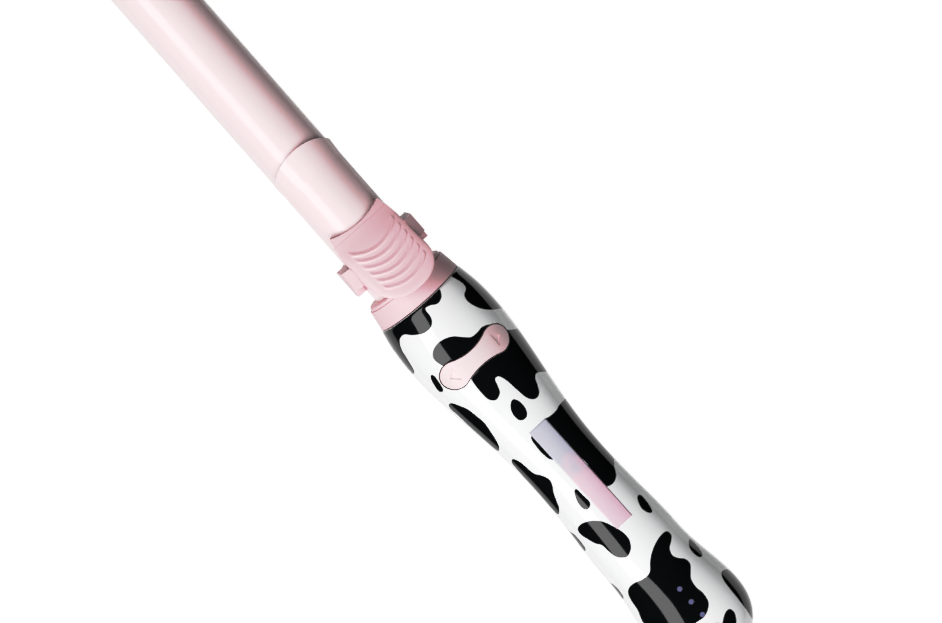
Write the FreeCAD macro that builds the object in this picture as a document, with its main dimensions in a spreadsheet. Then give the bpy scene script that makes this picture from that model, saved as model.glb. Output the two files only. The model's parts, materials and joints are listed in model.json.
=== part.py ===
import FreeCAD, Part
import math
import os
import Sketcher

# A rotating curling iron with a sprung clip, lying along X.
# The cord inlet is at the origin, the barrel tip points to +X and the button side faces +Z.

Vector = FreeCAD.Vector
Rotation = FreeCAD.Rotation
doc = FreeCAD.newDocument("rotating_curling_iron")

# Driving sizes in millimetres
SIZES = {
    "gland_out": 5.0,
    "handle_length": 175.5,
    "tail_radius": 8.2,
    "dome_from_tail": 3.5,
    "dome_radius": 12.9,
    "shoulder_from_tail": 9.5,
    "shoulder_radius": 17.5,
    "tail_bulge_from_tail": 20.5,
    "tail_bulge_radius": 19.75,
    "tail_flank_radius": 16.5,
    "waist_radius": 14.65,
    "head_flank_radius": 16.85,
    "head_bulge_from_mouth": 20.0,
    "head_bulge_radius": 20.3,
    "mouth_radius": 18.15,
    "depth_ratio": 0.92,
    "wall": 2.2,
    "tail_block": 9.8,
    "mouth_block": 13.5,
    "loose_fit": 0.3,
    "running_fit": 0.05,
    "seat_fit": 0.03,
    "cord_bore_radius": 3.6,
    "swivel_neck_radius": 5.2,
    "swivel_flange_radius": 7.0,
    "swivel_lip_radius": 6.3,
    "journal_radius": 13.0,
    "bush_radius": 16.0,
    "bush_length": 9.5,
    "bush_from_mouth": 11.0,
    "frame_radius": 14.5,
    "frame_thickness": 3.0,
    "frame_from_mouth": 39.5,
    "rear_journal_radius": 2.0,
    "gear_seat_radius": 2.3,
    "gear_width": 5.0,
    "gear_module": 0.5,
    "gear_spread": 0.05,
    "motor_width": 12.0,
    "motor_depth": 10.0,
    "gearbox_length": 9.0,
    "motor_length": 15.0,
    "motor_shaft_radius": 1.5,
    "drum_seat_radius": 6.0,
    "ring_radius": 8.4,
    "ring_width": 2.6,
    "ring_pitch": 4.5,
    "rocker_from_mouth": 27.5,
    "rocker_spacing": 19.9,
    "rocker_lobe_radius": 5.15,
    "rocker_neck": 6.5,
    "rocker_gap": 0.4,
    "arrow_half_base": 2.6,
    "arrow_height": 2.9,
    "button_proud": 0.5,
    "board_thickness": 1.2,
    "button_board_height": 10.2,
    "rocker_pivot_height": 14.2,
    "main_board_height": 3.9,
    "main_board_length": 68.0,
    "main_board_half_width": 8.0,
    "led_from_tail": 22.0,
    "led_pitch": 6.2,
    "led_radius": 1.15,
    "power_from_tail": 13.7,
    "power_radius": 2.8,
    "screw_seat": 6.0,
    "tail_screw_from_tail": 25.0,
    "tail_screw_aside": 11.6,
    "head_screw_from_mouth": 17.6,
    "head_screw_aside": 13.4,
    "collar_gap": 0.4,
    "collar_length": 9.0,
    "collar_top_radius": 16.75,
    "collar_inner_radius": 15.7,
    "flange_thickness": 2.4,
    "barrel_radius": 12.7,
    "barrel_wall": 1.2,
    "barrel_start": 5.5,
    "barrel_length": 155.0,
    "spigot_length": 21.0,
    "heater_length": 102.0,
    "tip_length": 27.0,
    "tip_plug_length": 12.0,
    "tip_round": 8.5,
    "blade_gap": 0.2,
    "blade_thickness": 0.8,
    "blade_half_angle": 70.0,
    "blade_flare": 0.9,
    "blade_flare_length": 12.0,
    "blade_rounding": 9.5,
    "blade_reach": 71.9,
    "blade_root": 29.5,
    "seam_from_mouth": 39.0,
    "seam_sag": 2.0,
    "lever_span": 52.0,
    "hinge_from_mouth": 23.0,
    "hinge_height": 15.4,
    "pin_radius": 1.2,
    "lever_end_from_mouth": 6.0,
    "lever_end_rounding": 12.0,
    "lever_root_half": 11.6,
    "lever_mid_half": 12.8,
    "lever_half_width": 12.5,
    "lever_crowning": 1.3,
    "lever_crown": 20.2,
    "lever_end_crown": 25.6,
    "lever_thickness": 2.0,
    "rib_radius": 15.5,
    "rib_pitch": 3.15,
    "rib_width": 1.4,
    "rib_height": 0.6,
    "rib_half_span": 10.2,
    "first_rib_from_hinge": 3.4,
    "ear_gap": 0.4,
    "ear_thickness": 3.5,
    "ear_length": 8.0,
    "ear_slope": 3.4,
    "pin_seat": 1.0,
    "saddle_length": 11.0,
    "saddle_band": 1.5,
    "saddle_height": 8.0,
    "spring_wire_radius": 0.35,
    "spring_pitch": 1.2,
}
GEAR_TEETH = 16
PINION_TEETH = 10
RIB_COUNT = 6
SPRING_TURNS = 5

dim = doc.addObject("Spreadsheet::Sheet", "dim")
for row, (alias, number) in enumerate(SIZES.items(), start=1):
    dim.set(f"A{row}", alias)
    dim.set(f"B{row}", str(number))
    dim.setAlias(f"B{row}", alias)
doc.recompute()

# Stations along the axis, as expressions of the cells
TAIL = "dim.gland_out"
MOUTH = "(dim.gland_out + dim.handle_length)"
TAIL_BULGE = f"({TAIL} + dim.tail_bulge_from_tail)"
HEAD_BULGE = f"({MOUTH} - dim.head_bulge_from_mouth)"
WAIST = f"(({TAIL_BULGE} + {HEAD_BULGE}) / 2)"
ROCKER = f"({MOUTH} - dim.rocker_from_mouth)"
FRAME = f"({MOUTH} - dim.frame_from_mouth)"
GEAR = f"({FRAME} + dim.frame_thickness + 1)"
DRUM = f"({GEAR} + dim.gear_width + 1)"
JOURNAL = f"({MOUTH} - dim.mouth_block + 0.5)"
FLANGE = f"({MOUTH} + dim.collar_gap + 0.2)"
BASE = f"({FLANGE} + dim.flange_thickness)"
TUBE = f"({MOUTH} + dim.barrel_start)"
TUBE_END = f"({TUBE} + dim.barrel_length)"
TIP = f"({TUBE_END} + dim.tip_length)"
HINGE = f"({MOUTH} + dim.hinge_from_mouth)"
SEAM = f"({MOUTH} + dim.seam_from_mouth)"
LEVER_END = f"({MOUTH} + dim.lever_end_from_mouth)"
SPIGOT_END = f"({TUBE} + dim.spigot_length)"
HEATER = f"({SPIGOT_END} + 6)"
LED = f"({TAIL} + dim.led_from_tail)"
POWER = f"({TAIL} + dim.power_from_tail)"
BOARD = f"({TAIL} + dim.tail_block + 1)"
TUBE_BORE = "(dim.barrel_radius - dim.barrel_wall)"
BLADE_IN = "(dim.barrel_radius + dim.blade_gap)"
BLADE_OUT = "(dim.barrel_radius + dim.blade_gap + dim.blade_thickness)"
MOTOR_DROP = f"(dim.gear_module * {GEAR_TEETH + PINION_TEETH} / 2 + dim.gear_spread)"
BOARD_TOP = "(dim.main_board_height + dim.board_thickness + 0.4)"
BUTTON_BOARD_TOP = "(dim.button_board_height + dim.board_thickness)"
EAR_IN = "(dim.lever_mid_half + dim.ear_gap)"
EAR_OUT = f"({EAR_IN} + dim.ear_thickness)"

PARTS = []
TURN = {
    "X": Rotation(Vector(0, 1, 0), 90),
    "Y": Rotation(Vector(1, 0, 0), -90),
    "Z": Rotation(),
}


def value(expression):
    """Number that an expression of the cells has now."""
    return float(dim.evalExpression(expression))


def place(item, x, y, z):
    """Bind the position of an object to expressions."""
    item.setExpression("Placement.Base.x", x)
    item.setExpression("Placement.Base.y", y)
    item.setExpression("Placement.Base.z", z)
    return item


def rod(axis, radius, length, x="0", y="0", z="0"):
    """Cylinder along a main axis, starting at the given point."""
    item = doc.addObject("Part::Cylinder", "rod")
    item.Placement = FreeCAD.Placement(Vector(), TURN[axis])
    item.setExpression("Radius", radius)
    item.setExpression("Height", length)
    return place(item, x, y, z)


def block(x0, x1, y0, y1, z0, z1):
    """Box between two corners."""
    item = doc.addObject("Part::Box", "block")
    item.setExpression("Length", f"({x1}) - ({x0})")
    item.setExpression("Width", f"({y1}) - ({y0})")
    item.setExpression("Height", f"({z1}) - ({z0})")
    return place(item, x0, y0, z0)


def fuse(*shapes):
    """Union of several objects."""
    item = doc.addObject("Part::MultiFuse", "fuse")
    item.Shapes = list(shapes)
    return item


def cut(base, *tools):
    """Base without the tools."""
    item = doc.addObject("Part::Cut", "cut")
    item.Base = base
    item.Tool = tools[0] if len(tools) == 1 else fuse(*tools)
    return item


def common(*shapes):
    """Volume shared by the objects."""
    item = doc.addObject("Part::MultiCommon", "common")
    item.Shapes = list(shapes)
    return item


def group(*solids):
    """Several like solids kept as one node."""
    item = doc.addObject("Part::Compound", "group")
    item.Links = list(solids)
    return item


def keep(item, label):
    """Name a finished sub-part."""
    item.Label = label
    PARTS.append(item)
    return item


def base_plane(body, role):
    """Origin plane of a body."""
    return [face for face in body.Origin.OriginFeatures if face.Role == role][0]


def outline(body, role, corners):
    """Closed sketch of straight lines whose corners are bound to expressions."""
    sketch = body.newObject("Sketcher::SketchObject", "outline")
    sketch.AttachmentSupport = (base_plane(body, role), "")
    sketch.MapMode = "FlatFace"
    spots = [(value(across), value(up)) for across, up in corners]
    count = len(spots)
    for i in range(count):
        start = Vector(*spots[i], 0)
        end = Vector(*spots[(i + 1) % count], 0)
        sketch.addGeometry(Part.LineSegment(start, end))
    for i in range(count):
        sketch.addConstraint(Sketcher.Constraint("Coincident", i, 2, (i + 1) % count, 1))
    for i, (across, up) in enumerate(corners):
        k = sketch.addConstraint(Sketcher.Constraint("DistanceX", -1, 1, i, 1, spots[i][0]))
        sketch.setExpression(f"Constraints[{k}]", across)
        k = sketch.addConstraint(Sketcher.Constraint("DistanceY", -1, 1, i, 1, spots[i][1]))
        sketch.setExpression(f"Constraints[{k}]", up)
    return sketch


def turned(corners, angle="360"):
    """Body turned about X from corners given as station and radius."""
    body = doc.addObject("PartDesign::Body", "turned")
    sketch = outline(body, "XZ_Plane", corners)
    spin = body.newObject("PartDesign::Revolution", "spin")
    spin.Profile = sketch
    spin.ReferenceAxis = (sketch, ["H_Axis"])
    spin.setExpression("Angle", angle)
    spin.Midplane = True
    return body


def screw(axis, head_radius, head_height, shank_radius, shank_length, x, y, z):
    """Plain screw, head first, along a main axis."""
    head = rod(axis, head_radius, head_height, x, y, z)
    ahead = {"X": (f"{x} + {head_height}", y, z), "Z": (x, y, f"{z} + {head_height}")}[axis]
    shank = rod(axis, shank_radius, shank_length, *ahead)
    return fuse(head, shank)


# Oval handle form through nine sections, grown or shrunk by an offset
SECTIONS = [
    (TAIL, "dim.tail_radius", "dim.depth_ratio"),
    (f"{TAIL} + dim.dome_from_tail", "dim.dome_radius", "dim.depth_ratio"),
    (f"{TAIL} + dim.shoulder_from_tail", "dim.shoulder_radius", "dim.depth_ratio"),
    (TAIL_BULGE, "dim.tail_bulge_radius", "dim.depth_ratio"),
    (f"({TAIL_BULGE} + {WAIST}) / 2", "dim.tail_flank_radius", "dim.depth_ratio"),
    (WAIST, "dim.waist_radius", "dim.depth_ratio"),
    (f"({WAIST} + {HEAD_BULGE}) / 2", "dim.head_flank_radius", "dim.depth_ratio"),
    (HEAD_BULGE, "dim.head_bulge_radius", "(dim.depth_ratio + 1) / 2"),
    (MOUTH, "dim.mouth_radius", "1"),
]


def handle_form(offset):
    """Solid loft of the handle's outside, moved out by the offset."""
    rings = []
    for station, radius, ratio in SECTIONS:
        ring = doc.addObject("Part::Ellipse", "ring")
        ring.Placement = FreeCAD.Placement(Vector(), Rotation(Vector(1, 1, 1), 120))
        ring.setExpression("MajorRadius", f"{radius} + {offset}")
        ring.setExpression("MinorRadius", f"{radius} * {ratio} + {offset}")
        rings.append(place(ring, station, "0", "0"))
    form = doc.addObject("Part::Loft", "handle_form")
    form.Sections = rings
    form.Solid = True
    return form


outside = handle_form("0")
proud = handle_form("dim.button_proud")
inside = handle_form("-dim.wall")
under_skin = handle_form("-dim.wall + 0.2")
FAR = "60"
cavity = common(
    inside,
    block(f"{TAIL} + dim.tail_block", f"{MOUTH} - dim.mouth_block", f"-{FAR}", FAR, f"-{FAR}", FAR),
)
blank = cut(outside, cavity)


def bone(lobe, neck):
    """Bone-shaped prism across the handle under the rocker button."""
    body = doc.addObject("PartDesign::Body", "bone")
    sketch = body.newObject("Sketcher::SketchObject", "bone_outline")
    sketch.AttachmentSupport = (base_plane(body, "XY_Plane"), "")
    sketch.MapMode = "FlatFace"
    half = "(dim.rocker_spacing / 2)"
    side = f"(({half} ^ 2 + ({neck} / 2) ^ 2 - ({lobe}) ^ 2) / (2 * ({lobe} - {neck} / 2)))"
    away = value(f"{side} + {neck} / 2")
    reach = value(half)
    lobe_now = value(lobe)
    middle = value(ROCKER)
    lean = math.atan2(reach, away)
    normal = Vector(0, 0, 1)
    upper = Part.Circle(Vector(middle, reach, 0), normal, lobe_now)
    lower = Part.Circle(Vector(middle, -reach, 0), normal, lobe_now)
    right = Part.Circle(Vector(middle + away, 0, 0), normal, value(side))
    left = Part.Circle(Vector(middle - away, 0, 0), normal, value(side))
    sketch.addGeometry(Part.ArcOfCircle(upper, -lean, math.pi + lean))
    sketch.addGeometry(Part.ArcOfCircle(left, -lean, lean))
    sketch.addGeometry(Part.ArcOfCircle(lower, math.pi - lean, 2 * math.pi + lean))
    sketch.addGeometry(Part.ArcOfCircle(right, math.pi - lean, math.pi + lean))
    sketch.addConstraint(Sketcher.Constraint("Tangent", 0, 2, 1, 2))
    sketch.addConstraint(Sketcher.Constraint("Tangent", 1, 1, 2, 1))
    sketch.addConstraint(Sketcher.Constraint("Tangent", 2, 2, 3, 2))
    sketch.addConstraint(Sketcher.Constraint("Tangent", 3, 1, 0, 1))
    bound = [
        ("DistanceX", 0, ROCKER),
        ("DistanceY", 0, half),
        ("DistanceX", 2, ROCKER),
        ("DistanceY", 2, f"-{half}"),
        ("DistanceX", 1, f"{ROCKER} - {side} - {neck} / 2"),
        ("DistanceX", 3, f"{ROCKER} + {side} + {neck} / 2"),
    ]
    for kind, arc, expression in bound:
        rule = Sketcher.Constraint(kind, -1, 1, arc, 3, value(expression))
        k = sketch.addConstraint(rule)
        sketch.setExpression(f"Constraints[{k}]", expression)
    for arc in (0, 2):
        k = sketch.addConstraint(Sketcher.Constraint("Radius", arc, lobe_now))
        sketch.setExpression(f"Constraints[{k}]", lobe)
    pad = body.newObject("PartDesign::Pad", "bone_pad")
    pad.Profile = sketch
    pad.Length = 40
    return body


rocker_prism = bone("dim.rocker_lobe_radius", "dim.rocker_neck")
rocker_opening = bone("(dim.rocker_lobe_radius + dim.rocker_gap)", "(dim.rocker_neck + 2 * dim.rocker_gap)")

# Places of the four screws that close the handle
SCREW_SPOTS = [
    (f"{TAIL} + dim.tail_screw_from_tail", "dim.tail_screw_aside"),
    (f"{TAIL} + dim.tail_screw_from_tail", "-dim.tail_screw_aside"),
    (f"{MOUTH} - dim.head_screw_from_mouth", "dim.head_screw_aside"),
    (f"{MOUTH} - dim.head_screw_from_mouth", "-dim.head_screw_aside"),
]
BUTTON_POSTS = [(f"{ROCKER} + {along}", aside) for along in ("-6.4", "6.4") for aside in ("-5.5", "5.5")]
BOARD_POSTS = [(f"{BOARD} + {along}", aside) for along in ("30", "64") for aside in ("-5", "5")]
LED_SPOTS = [f"{LED} + {i} * dim.led_pitch" for i in range(3)]
BRUSH_POSTS = [f"{DRUM} + 3", f"{DRUM} + 13"]
BRUSH_FLOOR = "(-dim.ring_radius - 6)"
PILOT = "(1.1 + dim.seat_fit)"

# Ribs, bosses and posts inside both halves of the handle
frame_rib = rod("X", FAR, "dim.frame_thickness + 3.2", f"{FRAME} - 2")
screw_bosses = [rod("Z", "3.2", "2 * " + FAR, x, y, f"-{FAR}") for x, y in SCREW_SPOTS]
shell_fittings = common(outside, fuse(frame_rib, *screw_bosses))
front_posts = [rod("Z", "1.7", FAR, x, y, BUTTON_BOARD_TOP) for x, y in BUTTON_POSTS]
front_posts += [rod("Z", "2", FAR, x, y, BOARD_TOP) for x, y in BOARD_POSTS]
PIVOT_FOOT = "dim.rocker_pivot_height - 1.6"
pivot_lugs = [
    block(f"{ROCKER} - 6.2", f"{ROCKER} - 4.5", "-2.5", "2.5", PIVOT_FOOT, FAR),
    block(f"{ROCKER} + 4.5", f"{ROCKER} + 6.2", "-2.5", "2.5", PIVOT_FOOT, FAR),
]
front_fittings = common(outside, fuse(*front_posts, *pivot_lugs))
motor_cradle = block(
    f"{FRAME} - 22", f"{FRAME} - 4", "-4", "4", f"-{FAR}", f"-{MOTOR_DROP} - dim.motor_depth / 2",
)
brush_feet = [rod("Z", "2", FAR, x, "0", f"{BRUSH_FLOOR} - {FAR}") for x in BRUSH_POSTS]
rear_fittings = common(outside, fuse(motor_cradle, *brush_feet))

# Seats shared by both halves: bush, drive frame, rotor and cord swivel
SWIVEL_GROOVE = "(dim.gland_out + 4)"
shared_seats = [
    rod("X", "dim.bush_radius + dim.seat_fit", "dim.bush_length", f"{MOUTH} - dim.bush_from_mouth"),
    rod("X", "dim.journal_radius + 0.6", "dim.mouth_block + 10", f"{MOUTH} - dim.mouth_block - 5"),
    rod("X", "dim.frame_radius + dim.seat_fit", "dim.frame_thickness", FRAME),
    rod("X", "dim.frame_radius - 1.2", "dim.frame_thickness + 8", f"{FRAME} - 4"),
    rod("X", "dim.swivel_neck_radius + dim.loose_fit", "dim.tail_block + 5", f"{TAIL} - 2"),
    rod("X", "dim.swivel_flange_radius + dim.loose_fit", "3.2", SWIVEL_GROOVE),
]
led_holes = [rod("Z", "dim.led_radius + dim.seat_fit", FAR, x, "0", "6") for x in LED_SPOTS]
pilot_holes = [rod("Z", PILOT, "14", x, y, "-1") for x, y in SCREW_SPOTS]
front_screw_holes = [
    rod("Z", "0.73", "2", *BUTTON_POSTS[0], f"{BUTTON_BOARD_TOP} - 0.5"),
    rod("Z", "0.73", "2", *BUTTON_POSTS[3], f"{BUTTON_BOARD_TOP} - 0.5"),
    rod("Z", "0.73", "4", *BOARD_POSTS[0], f"{BOARD_TOP} - 0.5"),
    rod("Z", "0.73", "4", *BOARD_POSTS[3], f"{BOARD_TOP} - 0.5"),
]
front_openings = [
    rocker_opening,
    rod("Z", "dim.power_radius + dim.loose_fit", FAR, POWER, "0", "6"),
    rod("X", "1 + dim.seat_fit", "12.4", f"{ROCKER} - 6.2", "0", "dim.rocker_pivot_height"),
]
upper_half = block("-10", f"{MOUTH} + 10", f"-{FAR}", FAR, "0", FAR)
front_shell = cut(
    common(fuse(blank, shell_fittings, front_fittings), upper_half),
    *shared_seats, *led_holes, *pilot_holes, *front_screw_holes, *front_openings,
)
keep(front_shell, "handle_front_shell")

counterbores = [rod("Z", "2.6", FAR, x, y, f"-{FAR} - dim.screw_seat") for x, y in SCREW_SPOTS]
through_holes = [rod("Z", PILOT, FAR, x, y, f"-{FAR} + 2") for x, y in SCREW_SPOTS]
lower_half = block("-10", f"{MOUTH} + 10", f"-{FAR}", FAR, f"-{FAR}", "0")
rear_shell = cut(
    common(fuse(blank, shell_fittings, rear_fittings), lower_half),
    *shared_seats, *counterbores, *through_holes,
)
keep(rear_shell, "handle_rear_shell")
handle_screws = [
    screw("Z", "2.3", "1.8", "1.1", "14", x, y, "-dim.screw_seat - 1.8") for x, y in SCREW_SPOTS
]
keep(group(*handle_screws), "handle_screws")

# Cord swivel held by its flange between the two shells
swivel = turned([
    ("0", "dim.cord_bore_radius"),
    ("0", "dim.swivel_lip_radius - 0.8"),
    ("0.8", "dim.swivel_lip_radius"),
    ("dim.gland_out - 0.4", "dim.swivel_lip_radius"),
    ("dim.gland_out - 0.4", "dim.swivel_neck_radius"),
    (f"{SWIVEL_GROOVE} + 0.35", "dim.swivel_neck_radius"),
    (f"{SWIVEL_GROOVE} + 0.35", "dim.swivel_flange_radius"),
    (f"{SWIVEL_GROOVE} + 2.85", "dim.swivel_flange_radius"),
    (f"{SWIVEL_GROOVE} + 2.85", "dim.swivel_neck_radius"),
    (f"{TAIL} + dim.tail_block - 0.6", "dim.swivel_neck_radius"),
    (f"{TAIL} + dim.tail_block - 0.6", "dim.cord_bore_radius"),
])
keep(swivel, "cord_swivel")

# Bush in the handle's mouth
BUSH = f"({MOUTH} - dim.bush_from_mouth)"
front_bush = turned([
    (BUSH, "dim.journal_radius + dim.running_fit"),
    (BUSH, "dim.bush_radius"),
    (f"{BUSH} + dim.bush_length", "dim.bush_radius"),
    (f"{BUSH} + dim.bush_length", "dim.journal_radius + dim.running_fit"),
])
keep(front_bush, "front_bush")

# Drive frame with the gearmotor behind it
DROP = f"-{MOTOR_DROP}"
frame_plate = cut(
    rod("X", "dim.frame_radius", "dim.frame_thickness", FRAME),
    rod("X", "dim.rear_journal_radius + dim.running_fit", "10", f"{FRAME} - 2"),
    rod("X", "dim.motor_shaft_radius + 0.6", "10", f"{FRAME} - 2", "0", DROP),
    rod("X", "0.83", "10", f"{FRAME} - 2", "4.5", DROP),
    rod("X", "0.83", "10", f"{FRAME} - 2", "-4.5", DROP),
)
keep(frame_plate, "drive_frame")
gearbox = cut(
    block(
        f"{FRAME} - dim.gearbox_length", FRAME, "-dim.motor_width / 2", "dim.motor_width / 2",
        f"{DROP} - dim.motor_depth / 2", f"{DROP} + dim.motor_depth / 2",
    ),
    rod("X", "0.83", "3", f"{FRAME} - 2", "4.5", DROP),
    rod("X", "0.83", "3", f"{FRAME} - 2", "-4.5", DROP),
    rod("X", "dim.motor_shaft_radius + 0.3", "3", f"{FRAME} - 2", "0", DROP),
)
keep(gearbox, "gearbox_case")
MOTOR_END = f"({FRAME} - dim.gearbox_length - dim.motor_length)"
motor_barrel = common(
    rod("X", "dim.motor_width / 2", "dim.motor_length", MOTOR_END, "0", DROP),
    block(
        f"{MOTOR_END} - 1", FRAME, f"-{FAR}", FAR,
        f"{DROP} - dim.motor_depth / 2", f"{DROP} + dim.motor_depth / 2",
    ),
)
keep(fuse(motor_barrel, rod("X", "2.4", "3", f"{MOTOR_END} - 1.2", "0", DROP)), "motor_can")


def frame_screw(aside):
    """Small screw through the frame into the gearbox."""
    head = rod("X", "1.4", "0.8", f"{FRAME} + dim.frame_thickness", aside, DROP)
    shank = rod("X", "0.8", "dim.frame_thickness + 1.5", f"{FRAME} - 1.5", aside, DROP)
    return fuse(head, shank)


keep(group(frame_screw("4.5"), frame_screw("-4.5")), "motor_screws")


# Involute gears with a little backlash
def gear_face(teeth, phase):
    """Flat gear outline, each flank an arc through three involute points."""
    module = value("dim.gear_module")
    pressure = math.radians(25)
    pitch = module * teeth / 2
    base = pitch * math.cos(pressure)
    tip = pitch + 0.9 * module
    root = pitch - 1.2 * module
    backlash = 0.09 / (4 * pitch)
    half_tooth = math.pi / (2 * teeth) - backlash

    def involute(angle):
        return math.tan(angle) - angle

    def lean(radius):
        return half_tooth + involute(pressure) - involute(math.acos(min(1.0, base / radius)))

    def spot(radius, angle):
        return Vector(radius * math.cos(angle), radius * math.sin(angle), 0)

    edges = []
    step = 2 * math.pi / teeth
    foot = max(base, root)
    middle = (foot + tip) / 2
    for i in range(teeth):
        turn = phase + i * step
        rising = [spot(radius, turn - lean(radius)) for radius in (foot, middle, tip)]
        falling = [spot(radius, turn + lean(radius)) for radius in (tip, middle, foot)]
        low = spot(root, turn - lean(foot))
        low_end = spot(root, turn + lean(foot))
        edges.append(Part.LineSegment(low, rising[0]))
        edges.append(Part.Arc(*rising))
        edges.append(Part.Arc(rising[2], spot(tip, turn), falling[0]))
        edges.append(Part.Arc(*falling))
        edges.append(Part.LineSegment(falling[2], low_end))
        next_low = spot(root, turn + step - lean(foot))
        edges.append(Part.Arc(low_end, spot(root, turn + step / 2), next_low))
    return Part.Face(Part.Wire([edge.toShape() for edge in edges]))


def gear(teeth, phase, bore, x, z):
    """Spur gear along X with a round bore."""
    blank_gear = doc.addObject("Part::Feature", "gear_blank")
    blank_gear.Shape = gear_face(teeth, phase).extrude(Vector(0, 0, value("dim.gear_width")))
    blank_gear.Placement = FreeCAD.Placement(Vector(), TURN["X"])
    place(blank_gear, x, "0", z)
    return cut(blank_gear, rod("X", bore, "20", f"{x} - 5", "0", z))


keep(gear(GEAR_TEETH, 0, "dim.gear_seat_radius", GEAR, "0"), "drive_gear")
half_pitch = math.pi / PINION_TEETH
keep(gear(PINION_TEETH, half_pitch, "dim.motor_shaft_radius", GEAR, DROP), "drive_pinion")
motor_shaft = rod("X", "dim.motor_shaft_radius", f"{GEAR} + dim.gear_width + 0.3 - {FRAME} + 1.7",
                  f"{FRAME} - 1.7", "0", DROP)
keep(motor_shaft, "motor_shaft")

# Rotor shaft: rear journal, gear seat, slip-ring seat, front journal and flange
hub_shaft = turned([
    (f"{FRAME} + 0.2", "0"),
    (f"{FRAME} + 0.2", "dim.rear_journal_radius"),
    (f"{GEAR} - 0.4", "dim.rear_journal_radius"),
    (f"{GEAR} - 0.4", "dim.gear_seat_radius"),
    (f"{DRUM} - 0.2", "dim.gear_seat_radius"),
    (f"{DRUM} - 0.2", "dim.drum_seat_radius"),
    (JOURNAL, "dim.drum_seat_radius"),
    (JOURNAL, "dim.journal_radius"),
    (FLANGE, "dim.journal_radius"),
    (FLANGE, "dim.collar_inner_radius - 0.2"),
    (BASE, "dim.collar_inner_radius - 0.2"),
    (BASE, "4"),
    (f"{GEAR} + dim.gear_width + 4", "4"),
    (f"{GEAR} + dim.gear_width + 4", "0"),
])
BASE_BOLT_RING = "((dim.collar_inner_radius + dim.barrel_radius) / 2)"
BOLTS = [
    (f"{BASE_BOLT_RING} * cos({angle})", f"{BASE_BOLT_RING} * sin({angle})") for angle in (30, 150, 270)
]
hub_holes = [rod("X", "0.63", "2.2", f"{BASE} - 2", y, z) for y, z in BOLTS]
keep(cut(hub_shaft, *hub_holes), "hub_shaft")

# Slip rings on an insulating drum, and the sprung contacts below them
RINGS = [f"({DRUM} + 2 + {i} * dim.ring_pitch)" for i in range(3)]
DRUM_FLOOR = "(dim.ring_radius - 1.4)"
DRUM_RIB = "(dim.ring_radius + 0.5)"
drum_corners = [(DRUM, "dim.drum_seat_radius"), (DRUM, DRUM_RIB)]
for station in RINGS:
    drum_corners += [
        (station, DRUM_RIB),
        (station, DRUM_FLOOR),
        (f"{station} + dim.ring_width", DRUM_FLOOR),
        (f"{station} + dim.ring_width", DRUM_RIB),
    ]
DRUM_END = f"({RINGS[2]} + dim.ring_width + 1)"
drum_corners += [(DRUM_END, DRUM_RIB), (DRUM_END, "dim.drum_seat_radius")]
keep(turned(drum_corners), "slip_ring_drum")


def slip_ring(station):
    """One contact ring in its groove."""
    return turned([
        (station, DRUM_FLOOR),
        (station, "dim.ring_radius"),
        (f"{station} + dim.ring_width", "dim.ring_radius"),
        (f"{station} + dim.ring_width", DRUM_FLOOR),
    ])


keep(group(*[slip_ring(station) for station in RINGS]), "contact_rings")
brush_pockets = []
brushes = []
for station in RINGS:
    start = f"{station} + 0.5"
    end = f"{station} + dim.ring_width - 0.5"
    brush_pockets.append(block(start, end, "-1.5", "1.5", f"{BRUSH_FLOOR} + 1.5", "0"))
    stick = block(start, end, "-1.5", "1.5", f"{BRUSH_FLOOR} + 1.5", "-dim.ring_radius + 1")
    clear = rod("X", "dim.ring_radius + dim.running_fit", "10", f"{station} - 3")
    brushes.append(cut(stick, clear))
brush_block = block(DRUM, DRUM_END, "-5", "5", BRUSH_FLOOR, "-dim.ring_radius - 1.2")
keep(cut(brush_block, *brush_pockets), "brush_block")
keep(group(*brushes), "contact_brushes")

# Rocker button with its pin, switches and board
SWITCH_ASIDE = "(dim.rocker_spacing / 2 - 3)"
SWITCH_TOP = f"({BUTTON_BOARD_TOP} + 1.6)"
LEG_FOOT = f"({SWITCH_TOP} + 0.85)"
pivot_boss = block(
    f"{ROCKER} - 2.6", f"{ROCKER} + 2.6", "-2.2", "2.2", "dim.rocker_pivot_height - 1.7", FAR,
)
rocker_legs = [
    rod("Z", "1.2", FAR, ROCKER, SWITCH_ASIDE, LEG_FOOT),
    rod("Z", "1.2", FAR, ROCKER, f"-{SWITCH_ASIDE}", LEG_FOOT),
]
rocker_stem = common(fuse(pivot_boss, *rocker_legs), outside)
rocker_cap = cut(common(rocker_prism, proud), under_skin)


def arrow(side):
    """Triangular prism over one lobe of the rocker, pointing away from the other."""
    base = f"({side} * (dim.rocker_spacing / 2 - dim.arrow_height / 4))"
    tip = f"({side} * (dim.rocker_spacing / 2 + dim.arrow_height * 3 / 4))"
    body = doc.addObject("PartDesign::Body", "arrow")
    pad = body.newObject("PartDesign::Pad", "arrow_pad")
    pad.Profile = outline(
        body, "XY_Plane",
        [(f"{ROCKER} - dim.arrow_half_base", base), (f"{ROCKER} + dim.arrow_half_base", base), (ROCKER, tip)],
    )
    pad.Length = 60
    return body


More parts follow.
